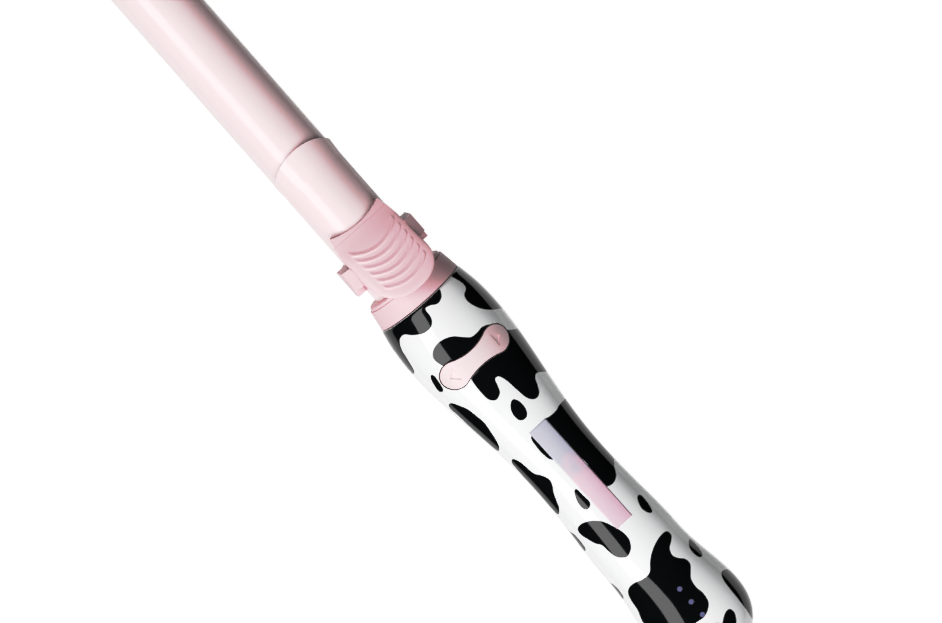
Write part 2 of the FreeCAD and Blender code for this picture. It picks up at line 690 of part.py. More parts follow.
arrow_recesses = [cut(arrow(side), outside) for side in (1, -1)]
pin_bore = rod("X", "1 + dim.running_fit", "30", f"{ROCKER} - 15", "0", "dim.rocker_pivot_height")
keep(cut(fuse(rocker_cap, rocker_stem), pin_bore, *arrow_recesses), "rocker_button")
keep(rod("X", "1", "12.4", f"{ROCKER} - 6.2", "0", "dim.rocker_pivot_height"), "rocker_pin")
button_board = cut(
    block(f"{ROCKER} - 7.6", f"{ROCKER} + 8.2", "-10.5", "10.5", "dim.button_board_height", BUTTON_BOARD_TOP),
    rod("Z", "0.8", "10", *BUTTON_POSTS[0], "dim.button_board_height - 5"),
    rod("Z", "0.8", "10", *BUTTON_POSTS[3], "dim.button_board_height - 5"),
)
keep(button_board, "button_board")


def key_switch(x, y, floor, half, height):
    """Tactile switch: square body with a round key."""
    body = block(
        f"{x} - {half}", f"{x} + {half}", f"{y} - {half}", f"{y} + {half}", floor, f"{floor} + {height}",
    )
    key = rod("Z", f"{half} * 0.5", f"{height} + 0.4", x, y, floor)
    return fuse(body, key)


rocker_switches = [
    key_switch(ROCKER, SWITCH_ASIDE, BUTTON_BOARD_TOP, "2.2", "1.6"),
    key_switch(ROCKER, f"-{SWITCH_ASIDE}", BUTTON_BOARD_TOP, "2.2", "1.6"),
]
keep(group(*rocker_switches), "rocker_switches")
BUTTON_SCREW = "dim.button_board_height - 0.8"
button_screws = [
    screw("Z", "1.3", "0.8", "0.7", "dim.board_thickness + 1.4", *BUTTON_POSTS[0], BUTTON_SCREW),
    screw("Z", "1.3", "0.8", "0.7", "dim.board_thickness + 1.4", *BUTTON_POSTS[3], BUTTON_SCREW),
]
keep(group(*button_screws), "button_board_screws")

# Control board with its parts, lamps, light pipe and power button
main_board = cut(
    block(
        BOARD, f"{BOARD} + dim.main_board_length", "-dim.main_board_half_width",
        "dim.main_board_half_width", "dim.main_board_height", BOARD_TOP,
    ),
    rod("Z", "0.8", "10", *BOARD_POSTS[0], "dim.main_board_height - 5"),
    rod("Z", "0.8", "10", *BOARD_POSTS[3], "dim.main_board_height - 5"),
)
keep(main_board, "main_board")
board_parts = [
    block(f"{BOARD} + 8", f"{BOARD} + 22", "-6", "6", "dim.main_board_height - 9", "dim.main_board_height"),
    rod("Z", "4", "8", f"{BOARD} + 40", "0", "dim.main_board_height - 8"),
    block(f"{BOARD} + 48", f"{BOARD} + 60", "-5", "5", "dim.main_board_height - 6", "dim.main_board_height"),
    block(f"{BOARD} + 44", f"{BOARD} + 52", "-3.5", "3.5", BOARD_TOP, f"{BOARD_TOP} + 1.2"),
]
keep(group(*board_parts), "board_parts")
board_screws = [
    screw("Z", "1.5", "1", "0.7", "4", *BOARD_POSTS[0], "dim.main_board_height - 1"),
    screw("Z", "1.5", "1", "0.7", "4", *BOARD_POSTS[3], "dim.main_board_height - 1"),
]
keep(group(*board_screws), "board_screws")
keep(key_switch(POWER, "0", BOARD_TOP, "2.8", "3.5"), "power_switch")
lamps = [block(f"{x} - 0.8", f"{x} + 0.8", "-0.6", "0.6", BOARD_TOP, f"{BOARD_TOP} + 0.9") for x in LED_SPOTS]
keep(group(*lamps), "indicator_leds")
LIGHT_FOOT = f"({BOARD_TOP} + 1.1)"
light_rods = [rod("Z", "dim.led_radius", FAR, x, "0", LIGHT_FOOT) for x in LED_SPOTS]
light_bar = block(
    f"{LED} - 2", f"{LED} + 2 * dim.led_pitch + 2", "-2", "2", f"{LIGHT_FOOT} + 2", f"{LIGHT_FOOT} + 3.4",
)
keep(fuse(common(fuse(*light_rods), outside), light_bar), "light_pipe")
power_stem = rod("Z", "dim.power_radius", FAR, POWER, "0", f"{BOARD_TOP} + 4.4")
power_flange = rod("Z", "dim.power_radius + 0.9", "1", POWER, "0", f"{BOARD_TOP} + 4.8")
keep(fuse(common(power_stem, proud), power_flange), "power_button")

# Barrel base on the rotor flange, with a tongue that carries the heater
SPIGOT = f"({TUBE_BORE} - dim.seat_fit)"
base_turned = turned([
    (BASE, "4"),
    (BASE, "dim.collar_inner_radius - 0.2"),
    (TUBE, "dim.collar_inner_radius - 0.2"),
    (TUBE, SPIGOT),
    (SPIGOT_END, SPIGOT),
    (SPIGOT_END, "4"),
])
base_tongue = cut(
    block(f"{SPIGOT_END} - 4", HEATER, "-7", "7", "-1.4", "1.4"),
    rod("X", "4", "4", f"{SPIGOT_END} - 4"),
)
SADDLE = f"({HINGE} + dim.ear_length / 2 - dim.saddle_length)"
SADDLE_SCREWS = [f"({SADDLE} + 2.6)", f"({SADDLE} + dim.saddle_length - 2.6)"]
SADDLE_OUT = "(dim.barrel_radius + dim.seat_fit + dim.saddle_band)"
saddle_holes = [rod("Z", "0.93", "6", x, "0", f"-{SADDLE_OUT} - 0.5") for x in SADDLE_SCREWS]
bolt_holes = [rod("X", "0.63", "6", f"{BASE} - 1", y, z) for y, z in BOLTS]
keep(cut(fuse(base_turned, base_tongue), *bolt_holes, *saddle_holes), "barrel_base")
base_bolts = []
for y, z in BOLTS:
    head = rod("X", "1.1", "0.9", TUBE, y, z)
    shank = rod("X", "0.6", f"{TUBE} - {BASE} + 1.8", f"{BASE} - 1.8", y, z)
    base_bolts.append(fuse(head, shank))
keep(group(*base_bolts), "base_bolts")

# Cone collar between the handle and the barrel
COLLAR = f"({MOUTH} + dim.collar_gap)"
COLLAR_END = f"({COLLAR} + dim.collar_length)"
collar = turned([
    (COLLAR, "dim.collar_inner_radius"),
    (COLLAR, "dim.mouth_radius - 0.1"),
    (f"{COLLAR_END} - 1.6", "dim.collar_top_radius + 0.15"),
    (f"{COLLAR_END} - 1.6", "dim.collar_top_radius - 0.45"),
    (f"{COLLAR_END} - 0.5", "dim.collar_top_radius - 0.6"),
    (COLLAR_END, "dim.collar_top_radius - 1.2"),
    (COLLAR_END, "dim.barrel_radius + dim.seat_fit"),
    (f"{TUBE} + 1.4", "dim.barrel_radius + dim.seat_fit"),
    (f"{TUBE} + 1.4", "dim.collar_inner_radius"),
])
keep(collar, "collar")

# Barrel tube with the heater inside
tube = turned([
    (TUBE, TUBE_BORE),
    (TUBE, "dim.barrel_radius"),
    (TUBE_END, "dim.barrel_radius"),
    (TUBE_END, TUBE_BORE),
])
keep(cut(tube, *saddle_holes), "barrel_tube")
HEATER_END = f"({HEATER} + dim.heater_length)"
SPREADER = f"({TUBE_BORE} - 0.2)"


def spreader(low, high, core_low, core_high):
    """Half-round hollow bar that presses the heater strip against the tube."""
    round_bar = rod("X", SPREADER, f"{HEATER_END} - {HEATER} + 6", f"{HEATER} - 3")
    half_bar = common(round_bar, block(f"{HEATER} - 4", f"{HEATER_END} + 4", f"-{FAR}", FAR, low, high))
    core = common(
        rod("X", f"{SPREADER} - 1.5", f"{HEATER_END} - {HEATER} + 20", f"{HEATER} - 10"),
        block(f"{HEATER} - 11", f"{HEATER_END} + 11", f"-{FAR}", FAR, core_low, core_high),
    )
    return cut(half_bar, core)


upper_bar = spreader("1.45", FAR, "3", FAR)
lower_bar = spreader(f"-{FAR}", "-1.45", f"-{FAR}", "-3")
keep(group(upper_bar, lower_bar), "heat_spreaders")
keep(block(HEATER, HEATER_END, "-8", "8", "-1.4", "1.4"), "heater_strip")
keep(block(f"{HEATER} + 30", f"{HEATER} + 36", "-1.5", "1.5", "3", "4.6"), "temperature_sensor")

# Cool tip plugged into the barrel's end
tip_turned = turned([
    (f"{TUBE_END} - dim.tip_plug_length", "0"),
    (f"{TUBE_END} - dim.tip_plug_length", SPIGOT),
    (TUBE_END, SPIGOT),
    (TUBE_END, "dim.barrel_radius - 0.3"),
    (f"{TUBE_END} + 1", "dim.barrel_radius - 0.3"),
    (TIP, "dim.barrel_radius - 2.6"),
    (TIP, "0"),
])
doc.recompute()
tip_edges = [
    f"Edge{i}" for i, edge in enumerate(tip_turned.Shape.Edges, start=1)
    if edge.BoundBox.XMin > value(TIP) - 0.01 and edge.BoundBox.YLength > 1
]
tip_blank = tip_turned.Tip
rounding = tip_turned.newObject("PartDesign::Fillet", "tip_rounding")
rounding.Base = (tip_blank, tip_edges)
rounding.setExpression("Radius", "dim.tip_round")
tip_turned.Tip = rounding
keep(tip_turned, "cool_tip")

# Hinge saddle with its two ears, screwed to the barrel base
SADDLE_END = f"({SADDLE} + dim.saddle_length)"
band = rod("X", SADDLE_OUT, "dim.saddle_length", SADDLE)
shoulders = block(SADDLE, SADDLE_END, f"-{EAR_OUT}", EAR_OUT, "-2", "dim.saddle_height")
EAR_TOP = "(dim.hinge_height + dim.pin_radius + 1.6)"
EAR_START = f"({HINGE} - dim.ear_length / 2)"


def ear(side):
    """Upright tab whose top slopes down to its outer side."""
    body = doc.addObject("PartDesign::Body", "ear")
    pad = body.newObject("PartDesign::Pad", "ear_pad")
    pad.Profile = outline(
        body, "YZ_Plane",
        [
            (f"{side} * {EAR_IN}", "-2"), (f"{side} * {EAR_OUT}", "-2"),
            (f"{side} * {EAR_OUT}", f"{EAR_TOP} - dim.ear_slope"), (f"{side} * {EAR_IN}", EAR_TOP),
        ],
    )
    pad.setExpression("Length", "dim.ear_length")
    return place(body, EAR_START, "0", "0")


ears = [ear(1), ear(-1)]
PIN_END = f"({EAR_IN} + dim.pin_seat)"
PIN_DEPTH = f"({PIN_END} + dim.seat_fit)"
pin_hole = rod(
    "Y", "dim.pin_radius + dim.seat_fit", f"2 * {PIN_DEPTH}", HINGE, f"-{PIN_DEPTH}", "dim.hinge_height",
)
saddle = cut(
    fuse(band, shoulders, *ears),
    rod("X", "dim.barrel_radius + dim.seat_fit", "60", f"{SADDLE} - 20"),
    block(f"{SADDLE} - 5", f"{SADDLE_END} + 5", f"-{EAR_IN}", EAR_IN, "dim.saddle_height - 0.5", FAR),
    pin_hole,
    *saddle_holes,
)
keep(saddle, "hinge_saddle")
saddle_screws = [
    screw("Z", "1.6", "0.9", "0.9", "5", x, "0", f"-{SADDLE_OUT} - 0.9") for x in SADDLE_SCREWS
]
keep(group(*saddle_screws), "saddle_screws")
hinge_pin = rod("Y", "dim.pin_radius", f"2 * {PIN_END}", HINGE, f"-{PIN_END}", "dim.hinge_height")
keep(hinge_pin, "hinge_pin")

# Clip blade: a sheet bent round the barrel with a rounded, flared tongue
BLADE_START = f"({MOUTH} + dim.blade_root)"
BLADE_END = f"({MOUTH} + dim.blade_reach)"
FLARE = f"({BLADE_END} - dim.blade_flare_length)"


def oval_prism(x, half_along, half_across):
    """Upright prism over an oval that is wider across than along."""
    oval = doc.addObject("Part::Ellipse", "oval")
    oval.Placement = FreeCAD.Placement(Vector(), Rotation(Vector(0, 0, 1), 90))
    oval.setExpression("MajorRadius", half_across)
    oval.setExpression("MinorRadius", half_along)
    place(oval, x, "0", "0")
    prism = doc.addObject("Part::Extrusion", "oval_prism")
    prism.Base = oval
    prism.DirMode = "Custom"
    prism.Dir = Vector(0, 0, 1)
    prism.LengthFwd = 60
    prism.Solid = True
    return prism


sheet = turned(
    [
        (BLADE_START, BLADE_IN),
        (BLADE_START, BLADE_OUT),
        (FLARE, BLADE_OUT),
        (BLADE_END, f"{BLADE_OUT} + dim.blade_flare"),
        (BLADE_END, f"{BLADE_IN} + dim.blade_flare"),
        (FLARE, BLADE_IN),
    ],
    "2 * dim.blade_half_angle",
)
TONGUE = f"({BLADE_END} - dim.blade_rounding)"
tongue_plan = fuse(
    oval_prism(TONGUE, "dim.blade_rounding", f"{BLADE_OUT} + 0.5"),
    block(f"{BLADE_START} - 1", TONGUE, f"-{FAR}", FAR, "0", FAR),
)
RIVET = f"({BLADE_START} + 4)"
rivet_holes = [
    rod("Z", "1.03", FAR, RIVET, "5", "0"),
    rod("Z", "1.03", FAR, RIVET, "-5", "0"),
]
keep(cut(common(sheet, tongue_plan), *rivet_holes), "clip_blade")

# Thumb lever: a scoop lofted from the blade up over the collar
COS_SPAN = "cos(dim.lever_span)"
SIN_SPAN = "sin(dim.lever_span)"
LEVER_IN = f"({BLADE_OUT} + 0.02)"
LEVER_SKIN = f"({BLADE_OUT} + 0.55)"
LEVER_FLOOR = "(dim.hinge_height + 1.6)"
LEVER_END_FLOOR = "(dim.lever_end_crown - 4)"
LEVER_END_RIM = "(dim.lever_end_crown - dim.lever_crowning - 1.2)"


def arch(station, lift, outer, inner):
    """Arched closed sketch across the lever: half width, crown and foot heights."""
    sketch = doc.addObject("Sketcher::SketchObject", "arch")
    sketch.Placement = FreeCAD.Placement(Vector(value(station), 0, 0), Rotation(Vector(1, 1, 1), 120))
    sketch.setExpression("Placement.Base.x", station)
    half, crown, foot = outer
    crown = f"({crown} + {lift})"
    foot = f"({foot} + {lift} * 0.5)"
    half_in, crown_in, foot_in = inner
    outer_ends = [(f"-({half})", foot), (half, foot)]
    inner_ends = [(f"-({half_in})", foot_in), (half_in, foot_in)]

    def spots(ends):
        return [Vector(value(across), value(up), 0) for across, up in ends]

    left, right = spots(outer_ends)
    low_left, low_right = spots(inner_ends)
    sketch.addGeometry(Part.Arc(right, Vector(0, value(crown), 0), left))
    sketch.addGeometry(Part.LineSegment(left, low_left))
    sketch.addGeometry(Part.Arc(low_right, Vector(0, value(crown_in), 0), low_left))
    sketch.addGeometry(Part.LineSegment(low_right, right))
    joints = [(0, 2, 1, 1), (1, 2, 2, 2), (2, 1, 3, 1), (3, 2, 0, 1)]
    for first, end, second, start in joints:
        sketch.addConstraint(Sketcher.Constraint("Coincident", first, end, second, start))
    corners = [(1, 1, outer_ends[0]), (3, 2, outer_ends[1]), (1, 2, inner_ends[0]), (3, 1, inner_ends[1])]
    for line, end, (across, up) in corners:
        k = sketch.addConstraint(Sketcher.Constraint("DistanceX", -1, 1, line, end, value(across)))
        sketch.setExpression(f"Constraints[{k}]", across)
        k = sketch.addConstraint(Sketcher.Constraint("DistanceY", -1, 1, line, end, value(up)))
        sketch.setExpression(f"Constraints[{k}]", up)
    sweeps = [(0, half, crown, foot), (2, half_in, crown_in, foot_in)]
    for arc, across, top, low in sweeps:
        rise = f"({top} - {low})"
        radius = f"(({across}) ^ 2 + {rise} ^ 2) / (2 * {rise})"
        k = sketch.addConstraint(Sketcher.Constraint("Radius", arc, value(radius)))
        sketch.setExpression(f"Constraints[{k}]", radius)
    return sketch


def lever_form(lift):
    """Lever scoop through three arches, its outside raised by the lift."""
    seam_arch = arch(
        SEAM, lift,
        ("dim.lever_root_half", LEVER_SKIN, f"{LEVER_SKIN} - dim.lever_crowning"),
        (f"{LEVER_IN} * {SIN_SPAN}", LEVER_IN, f"{LEVER_IN} * {COS_SPAN}"),
    )
    hinge_arch = arch(
        HINGE, lift,
        ("dim.lever_mid_half", "dim.lever_crown", "dim.lever_crown - dim.lever_crowning"),
        ("dim.lever_mid_half - 1.8", "dim.lever_crown - dim.lever_thickness", LEVER_FLOOR),
    )
    end_arch = arch(
        f"{LEVER_END} - 1.5", lift,
        ("dim.lever_half_width", "dim.lever_end_crown", "dim.lever_end_crown - dim.lever_crowning"),
        ("dim.lever_half_width - 0.7", "dim.lever_end_crown - dim.lever_thickness", LEVER_END_RIM),
    )
    form = doc.addObject("Part::Loft", "lever_form")
    form.Sections = [seam_arch, hinge_arch, end_arch]
    form.Solid = True
    return form


LEVER_ROUND = f"({LEVER_END} + dim.lever_end_rounding)"
lever_plan = fuse(
    oval_prism(LEVER_ROUND, "dim.lever_end_rounding", "dim.lever_half_width"),
    block(LEVER_ROUND, f"{SEAM} + 1", f"-{FAR}", FAR, "0", FAR),
)
SEAM_ARC = f"(({SIN_SPAN} * {LEVER_SKIN}) ^ 2 / (2 * dim.seam_sag))"
seam_hollow = rod("Z", SEAM_ARC, FAR, f"{SEAM} - dim.seam_sag + {SEAM_ARC}")
scoop = cut(common(lever_form("0"), lever_plan), seam_hollow)
rib_rings = []
for i in range(RIB_COUNT):
    centre = f"({HINGE} + dim.first_rib_from_hinge - {i} * dim.rib_pitch + dim.rib_radius)"
    outer_ring = rod("Z", "dim.rib_radius + dim.rib_width / 2", FAR, centre)
    inner_ring = rod("Z", "dim.rib_radius - dim.rib_width / 2", FAR, centre)
    rib_rings.append(cut(outer_ring, inner_ring))
rib_field = block(
    LEVER_END, f"{HINGE} + dim.first_rib_from_hinge + 4", "-dim.rib_half_span", "dim.rib_half_span", "0", FAR,
)
ribs = common(fuse(*rib_rings), rib_field, lever_form("dim.rib_height"))
CHEEK_OUT = "(dim.lever_mid_half - 0.5)"
CHEEK_IN = f"({CHEEK_OUT} - 2.4)"
CHEEK_FOOT = "(dim.hinge_height - 2.4)"
cheeks = [
    block(f"{HINGE} - 3", f"{HINGE} + 3", CHEEK_IN, CHEEK_OUT, CHEEK_FOOT, FAR),
    block(f"{HINGE} - 3", f"{HINGE} + 3", f"-{CHEEK_OUT}", f"-{CHEEK_IN}", CHEEK_FOOT, FAR),
]
bosses = [
    rod("Z", "2.2", FAR, RIVET, "5", "5"),
    rod("Z", "2.2", FAR, RIVET, "-5", "5"),
]
under_lever = arch(
    SEAM, "0",
    (f"{LEVER_SKIN} * {SIN_SPAN}", f"{LEVER_SKIN} - 0.2", f"{LEVER_SKIN} * {COS_SPAN}"),
    ("3", "1", "0"),
)
under_hinge = arch(
    HINGE, "0",
    ("dim.lever_mid_half", "dim.lever_crown - 0.6", LEVER_FLOOR),
    ("dim.lever_mid_half - 2", "1", "0"),
)
under_end = arch(
    f"{LEVER_END} - 1.5", "0",
    ("dim.lever_half_width", "dim.lever_end_crown - 0.6", LEVER_END_FLOOR),
    ("3", "1", "0"),
)
below = doc.addObject("Part::Loft", "below_lever")
below.Sections = [under_lever, under_hinge, under_end]
below.Solid = True
blade_clear = rod("X", LEVER_IN, "100", f"{HINGE} - 30")
lever_fittings = cut(common(fuse(*cheeks, *bosses), below), blade_clear)
lever_bore = rod("Y", "dim.pin_radius + dim.running_fit", "2 * " + FAR, HINGE, f"-{FAR}", "dim.hinge_height")
lever_rivet_bores = [
    rod("Z", "1.03", "4.3", RIVET, "5", "10"),
    rod("Z", "1.03", "4.3", RIVET, "-5", "10"),
]
lever = cut(fuse(scoop, ribs, lever_fittings), lever_bore, *lever_rivet_bores)
keep(lever, "thumb_lever")
rivet_rods = [
    rod("Z", "1", "4.2", RIVET, "5", "10"),
    rod("Z", "1", "4.2", RIVET, "-5", "10"),
]
rivets = [cut(item, rod("X", BLADE_IN, "40", f"{RIVET} - 20")) for item in rivet_rods]
keep(group(*rivets), "lever_rivets")

# Torsion spring round the hinge pin: one leg under the lever, one over the barrel
def torsion_spring():
    """Round wire wound on a helix with two straight legs."""
    wire = value("dim.spring_wire_radius")
    pitch = value("dim.spring_pitch")
    radius = value("dim.pin_radius + 0.25") + wire
    rise = value("dim.lever_end_crown - dim.lever_crown")
    run = value("dim.hinge_from_mouth - dim.lever_end_from_mouth + 1.5")
    slope = math.atan2(rise, run) - math.radians(4)
    turns = SPRING_TURNS - 0.5 + slope / (2 * math.pi)
    length = turns * pitch
    along = Vector(math.cos(slope), 0, -math.sin(slope))
    upward = Vector(math.sin(slope), 0, math.cos(slope))
    matrix = FreeCAD.Matrix(
        upward.x, along.x, 0, value(HINGE),
        0, 0, 1, -length / 2,
        upward.z, along.z, 0, value("dim.hinge_height"),
        0, 0, 0, 1,
    )
    helix = Part.makeHelix(pitch, length, radius)
    helix.transformShape(matrix)
    path = Part.Wire(helix.Edges)
    first = path.Edges[0]
    start = first.valueAt(first.FirstParameter)
    last = path.Edges[-1]
    end = last.valueAt(last.LastParameter)
    section = Part.Wire(Part.Circle(start, first.tangentAt(first.FirstParameter), wire).toShape())
    winding = path.makePipeShell([section], True, True)
    upper_leg = Part.makeCylinder(wire, 9, start, -along)
    lower_leg = Part.makeCylinder(wire, 9, end, Vector(-1, 0, 0))
    joints = [Part.makeSphere(wire, start), Part.makeSphere(wire, end)]
    return winding.multiFuse([upper_leg, lower_leg] + joints).removeSplitter()


clip_spring = doc.addObject("Part::Feature", "clip_spring")
clip_spring.Shape = torsion_spring()
keep(clip_spring, "clip_spring")

doc.recompute()
os.makedirs("parts", exist_ok=True)
faults = []
for item in doc.Objects:
    if "Invalid" in item.State or "Error" in item.State:
        faults.append(f"{item.Label}: {item.State}")
for item in PARTS:
    if item.Shape.isNull() or not item.Shape.isValid():
        faults.append(f"{item.Label}: bad shape")
if faults:
    raise RuntimeError("; ".join(faults))
for item in PARTS:
    item.Shape.exportStep(f"parts/{item.Label}.step")
print(len(PARTS), "parts written")
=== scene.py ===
"""Dresses the rotating curling iron for its picture: printed film, label, materials, lights and camera."""
import json
import math

import bmesh
import bpy
import numpy as np
from mathutils import Matrix, Vector
from mathutils.bvhtree import BVHTree


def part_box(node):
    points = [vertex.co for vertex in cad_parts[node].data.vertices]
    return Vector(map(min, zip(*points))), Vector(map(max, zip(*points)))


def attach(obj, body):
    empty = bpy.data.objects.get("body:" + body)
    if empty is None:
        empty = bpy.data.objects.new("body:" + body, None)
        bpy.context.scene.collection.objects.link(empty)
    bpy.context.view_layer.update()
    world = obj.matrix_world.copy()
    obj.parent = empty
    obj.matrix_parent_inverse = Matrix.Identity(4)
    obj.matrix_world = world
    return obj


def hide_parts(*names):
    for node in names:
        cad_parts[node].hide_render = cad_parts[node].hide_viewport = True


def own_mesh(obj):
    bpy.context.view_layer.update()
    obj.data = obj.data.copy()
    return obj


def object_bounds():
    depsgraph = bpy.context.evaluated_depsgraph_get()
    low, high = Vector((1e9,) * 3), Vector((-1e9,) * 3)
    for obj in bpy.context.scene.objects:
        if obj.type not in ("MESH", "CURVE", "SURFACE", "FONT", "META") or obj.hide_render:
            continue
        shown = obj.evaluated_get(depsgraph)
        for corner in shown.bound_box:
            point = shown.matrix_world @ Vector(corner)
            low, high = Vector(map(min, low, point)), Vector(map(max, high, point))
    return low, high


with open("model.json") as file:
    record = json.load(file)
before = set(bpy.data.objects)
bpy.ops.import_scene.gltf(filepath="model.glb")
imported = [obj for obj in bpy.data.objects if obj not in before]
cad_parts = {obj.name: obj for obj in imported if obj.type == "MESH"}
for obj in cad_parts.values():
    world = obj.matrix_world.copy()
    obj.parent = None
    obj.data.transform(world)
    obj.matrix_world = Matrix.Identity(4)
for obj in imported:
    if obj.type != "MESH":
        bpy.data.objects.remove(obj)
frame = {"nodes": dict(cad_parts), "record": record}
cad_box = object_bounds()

MM = 0.001
nodes = frame["nodes"]

# The photograph: its size, and where the iron's axis runs in it
PHOTO_WIDTH = 942
PHOTO_HEIGHT = 623
AXIS_PIXEL = (162.5, 5.0)
AXIS_FALL = math.radians(48.72)
MOUTH_PIXELS = 390.0
PIXELS_PER_METRE = 2748.0
TIP_LEANS_NEARER = math.radians(7.5)
FACE_LEANS_RIGHT = math.radians(4.0)
CAMERA_DISTANCE = 1.8
SENSOR_WIDTH = 36.0

# The iron's main stations, from the frame
front_low, front_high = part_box("handle_front_shell")
TAIL_X = front_low.x
MOUTH_X = front_high.x
rocker_low, rocker_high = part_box("rocker_button")
ROCKER_X = (rocker_low.x + rocker_high.x) / 2
ROCKER_LOBE = (rocker_high.x - rocker_low.x) / 2
ROCKER_REACH = rocker_high.y - ROCKER_LOBE
ROCKER_NECK = 6.5 * MM
power_low, power_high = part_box("power_button")
POWER_X = (power_low.x + power_high.x) / 2
POWER_FLANGE = 0.9 * MM
POWER_RADIUS = (power_high.x - power_low.x) / 2 - POWER_FLANGE
lever_low, lever_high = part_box("thumb_lever")


# Camera

def camera_turn():
    """Rotation from the camera's right, up and back directions to the iron's axes."""
    along = Vector((-math.cos(AXIS_FALL), math.sin(AXIS_FALL), 0))
    across = Vector((math.sin(AXIS_FALL), math.cos(AXIS_FALL), 0))
    back = Vector((0, 0, 1))
    x_axis = along * math.cos(TIP_LEANS_NEARER) + back * math.sin(TIP_LEANS_NEARER)
    outward = back * math.cos(TIP_LEANS_NEARER) - along * math.sin(TIP_LEANS_NEARER)
    z_axis = outward * math.cos(FACE_LEANS_RIGHT) + across * math.sin(FACE_LEANS_RIGHT)
    y_axis = outward * math.sin(FACE_LEANS_RIGHT) - across * math.cos(FACE_LEANS_RIGHT)
    return Matrix((x_axis, y_axis, z_axis))


CAMERA_TURN = camera_turn()
FOCAL_PIXELS = PIXELS_PER_METRE * CAMERA_DISTANCE
mouth_right = AXIS_PIXEL[0] + MOUTH_PIXELS * math.cos(AXIS_FALL) - PHOTO_WIDTH / 2
mouth_up = PHOTO_HEIGHT / 2 - AXIS_PIXEL[1] - MOUTH_PIXELS * math.sin(AXIS_FALL)
mouth_in_view = Vector((mouth_right / PIXELS_PER_METRE, mouth_up / PIXELS_PER_METRE, -CAMERA_DISTANCE))
CAMERA_PLACE = Vector((MOUTH_X, 0, 0)) - CAMERA_TURN @ mouth_in_view


def make_camera():
    """Long lens over the front face, as in the photograph."""
    data = bpy.data.cameras.new("camera")
    data.sensor_width = SENSOR_WIDTH
    data.lens = FOCAL_PIXELS * SENSOR_WIDTH / PHOTO_WIDTH
    data.clip_start = 0.05
    camera = bpy.data.objects.new("camera", data)
    camera.matrix_world = Matrix.Translation(CAMERA_PLACE) @ CAMERA_TURN.to_4x4()
    bpy.context.scene.collection.objects.link(camera)
    bpy.context.scene.camera = camera


def to_pixels(points):
    """Pixels of points of the row frame, as the camera sees them."""
    turn = np.array(CAMERA_TURN)
    view = (points - np.array(CAMERA_PLACE)) @ turn
    right = FOCAL_PIXELS * view[:, 0] / -view[:, 2]
    up = FOCAL_PIXELS * view[:, 1] / -view[:, 2]
    return np.stack([PHOTO_WIDTH / 2 + right, PHOTO_HEIGHT / 2 - up], axis=1)


# Handle surface: oval sections whose half width and half depth follow the CAD shell

def smooth_curve(places, heights):
    """Natural cubic spline through the points, as a function of numpy arrays."""
    step = np.diff(places)
    count = len(places)
    system = np.eye(count)
    wanted = np.zeros(count)
    for i in range(1, count - 1):
        system[i, i - 1:i + 2] = step[i - 1], 2 * (step[i - 1] + step[i]), step[i]
        rise_after = (heights[i + 1] - heights[i]) / step[i]
        rise_before = (heights[i] - heights[i - 1]) / step[i - 1]
        wanted[i] = 6 * (rise_after - rise_before)
    bend = np.linalg.solve(system, wanted)

    def evaluate(at):
        k = np.clip(np.searchsorted(places, at) - 1, 0, count - 2)
        left = at - places[k]
        right = places[k + 1] - at
        cubic = (bend[k] * right**3 + bend[k + 1] * left**3) / (6 * step[k])
        start = (heights[k] / step[k] - bend[k] * step[k] / 6) * right
        end = (heights[k + 1] / step[k] - bend[k + 1] * step[k] / 6) * left
        return cubic + start + end

    return evaluate


def measure_handle(stations=34, crowding=1.6, inset=0.02 * MM):
    """Half width and half depth of the CAD handle along its length."""
    mesh = nodes["handle_rear_shell"].data
    tree = BVHTree.FromPolygons([v.co for v in mesh.vertices], [p.vertices for p in mesh.polygons])
    span = MOUTH_X - TAIL_X - 2 * inset
    places = TAIL_X + inset + span * np.linspace(0, 1, stations) ** crowding
    far = 0.1
    below_seam = -0.3 * MM
    widths = [tree.ray_cast((x, far, below_seam), (0, -1, 0))[0].y for x in places]
    depths = [-tree.ray_cast((x, 0, -far), (0, 0, 1))[0].z for x in places]
    return smooth_curve(places, np.array(widths)), smooth_curve(places, np.array(depths))


half_width, half_depth = measure_handle()


def on_handle(x, angle, lift):
    """Points of the handle's surface; the angle runs from the front face to the right of the picture."""
    inside = np.clip(x, TAIL_X, MOUTH_X)
    y = -(half_width(inside) + lift) * np.sin(angle)
    z = (half_depth(inside) + lift) * np.cos(angle)
    return np.stack([x, y, z], axis=-1)


EDGE_TURN = 0.97
WRAP_PER_HALF_WIDTH = 3.0


def from_pixels(pixels, rounds=8):
    """Station and angle on the handle under each pixel; past the outline it wraps on round the side."""
    pixels = np.array(pixels, float)
    away = pixels - np.array(AXIS_PIXEL)
    axis = np.array([math.cos(AXIS_FALL), math.sin(AXIS_FALL)])
    side = np.array([math.sin(AXIS_FALL), -math.cos(AXIS_FALL)])
    x = MOUTH_X - (away @ axis - MOUTH_PIXELS) / PIXELS_PER_METRE
    turn = away @ side / PIXELS_PER_METRE / half_width(np.clip(x, TAIL_X, MOUTH_X))
    for _ in range(rounds):
        held = np.clip(turn, -EDGE_TURN, EDGE_TURN)
        angle = np.arcsin(held) + FACE_LEANS_RIGHT
        missed = pixels - to_pixels(on_handle(x, angle, 0.0))
        x = x - missed @ axis / PIXELS_PER_METRE
        step = missed @ side / PIXELS_PER_METRE / half_width(np.clip(x, TAIL_X, MOUTH_X))
        turn = held + step
    over = turn - np.clip(turn, -EDGE_TURN, EDGE_TURN)
    angle = np.arcsin(np.clip(turn, -EDGE_TURN, EDGE_TURN)) + FACE_LEANS_RIGHT + over * WRAP_PER_HALF_WIDTH
    return x, angle


# Cow print: patch outlines in the photograph's pixels, drawn past the outline where a patch wraps round

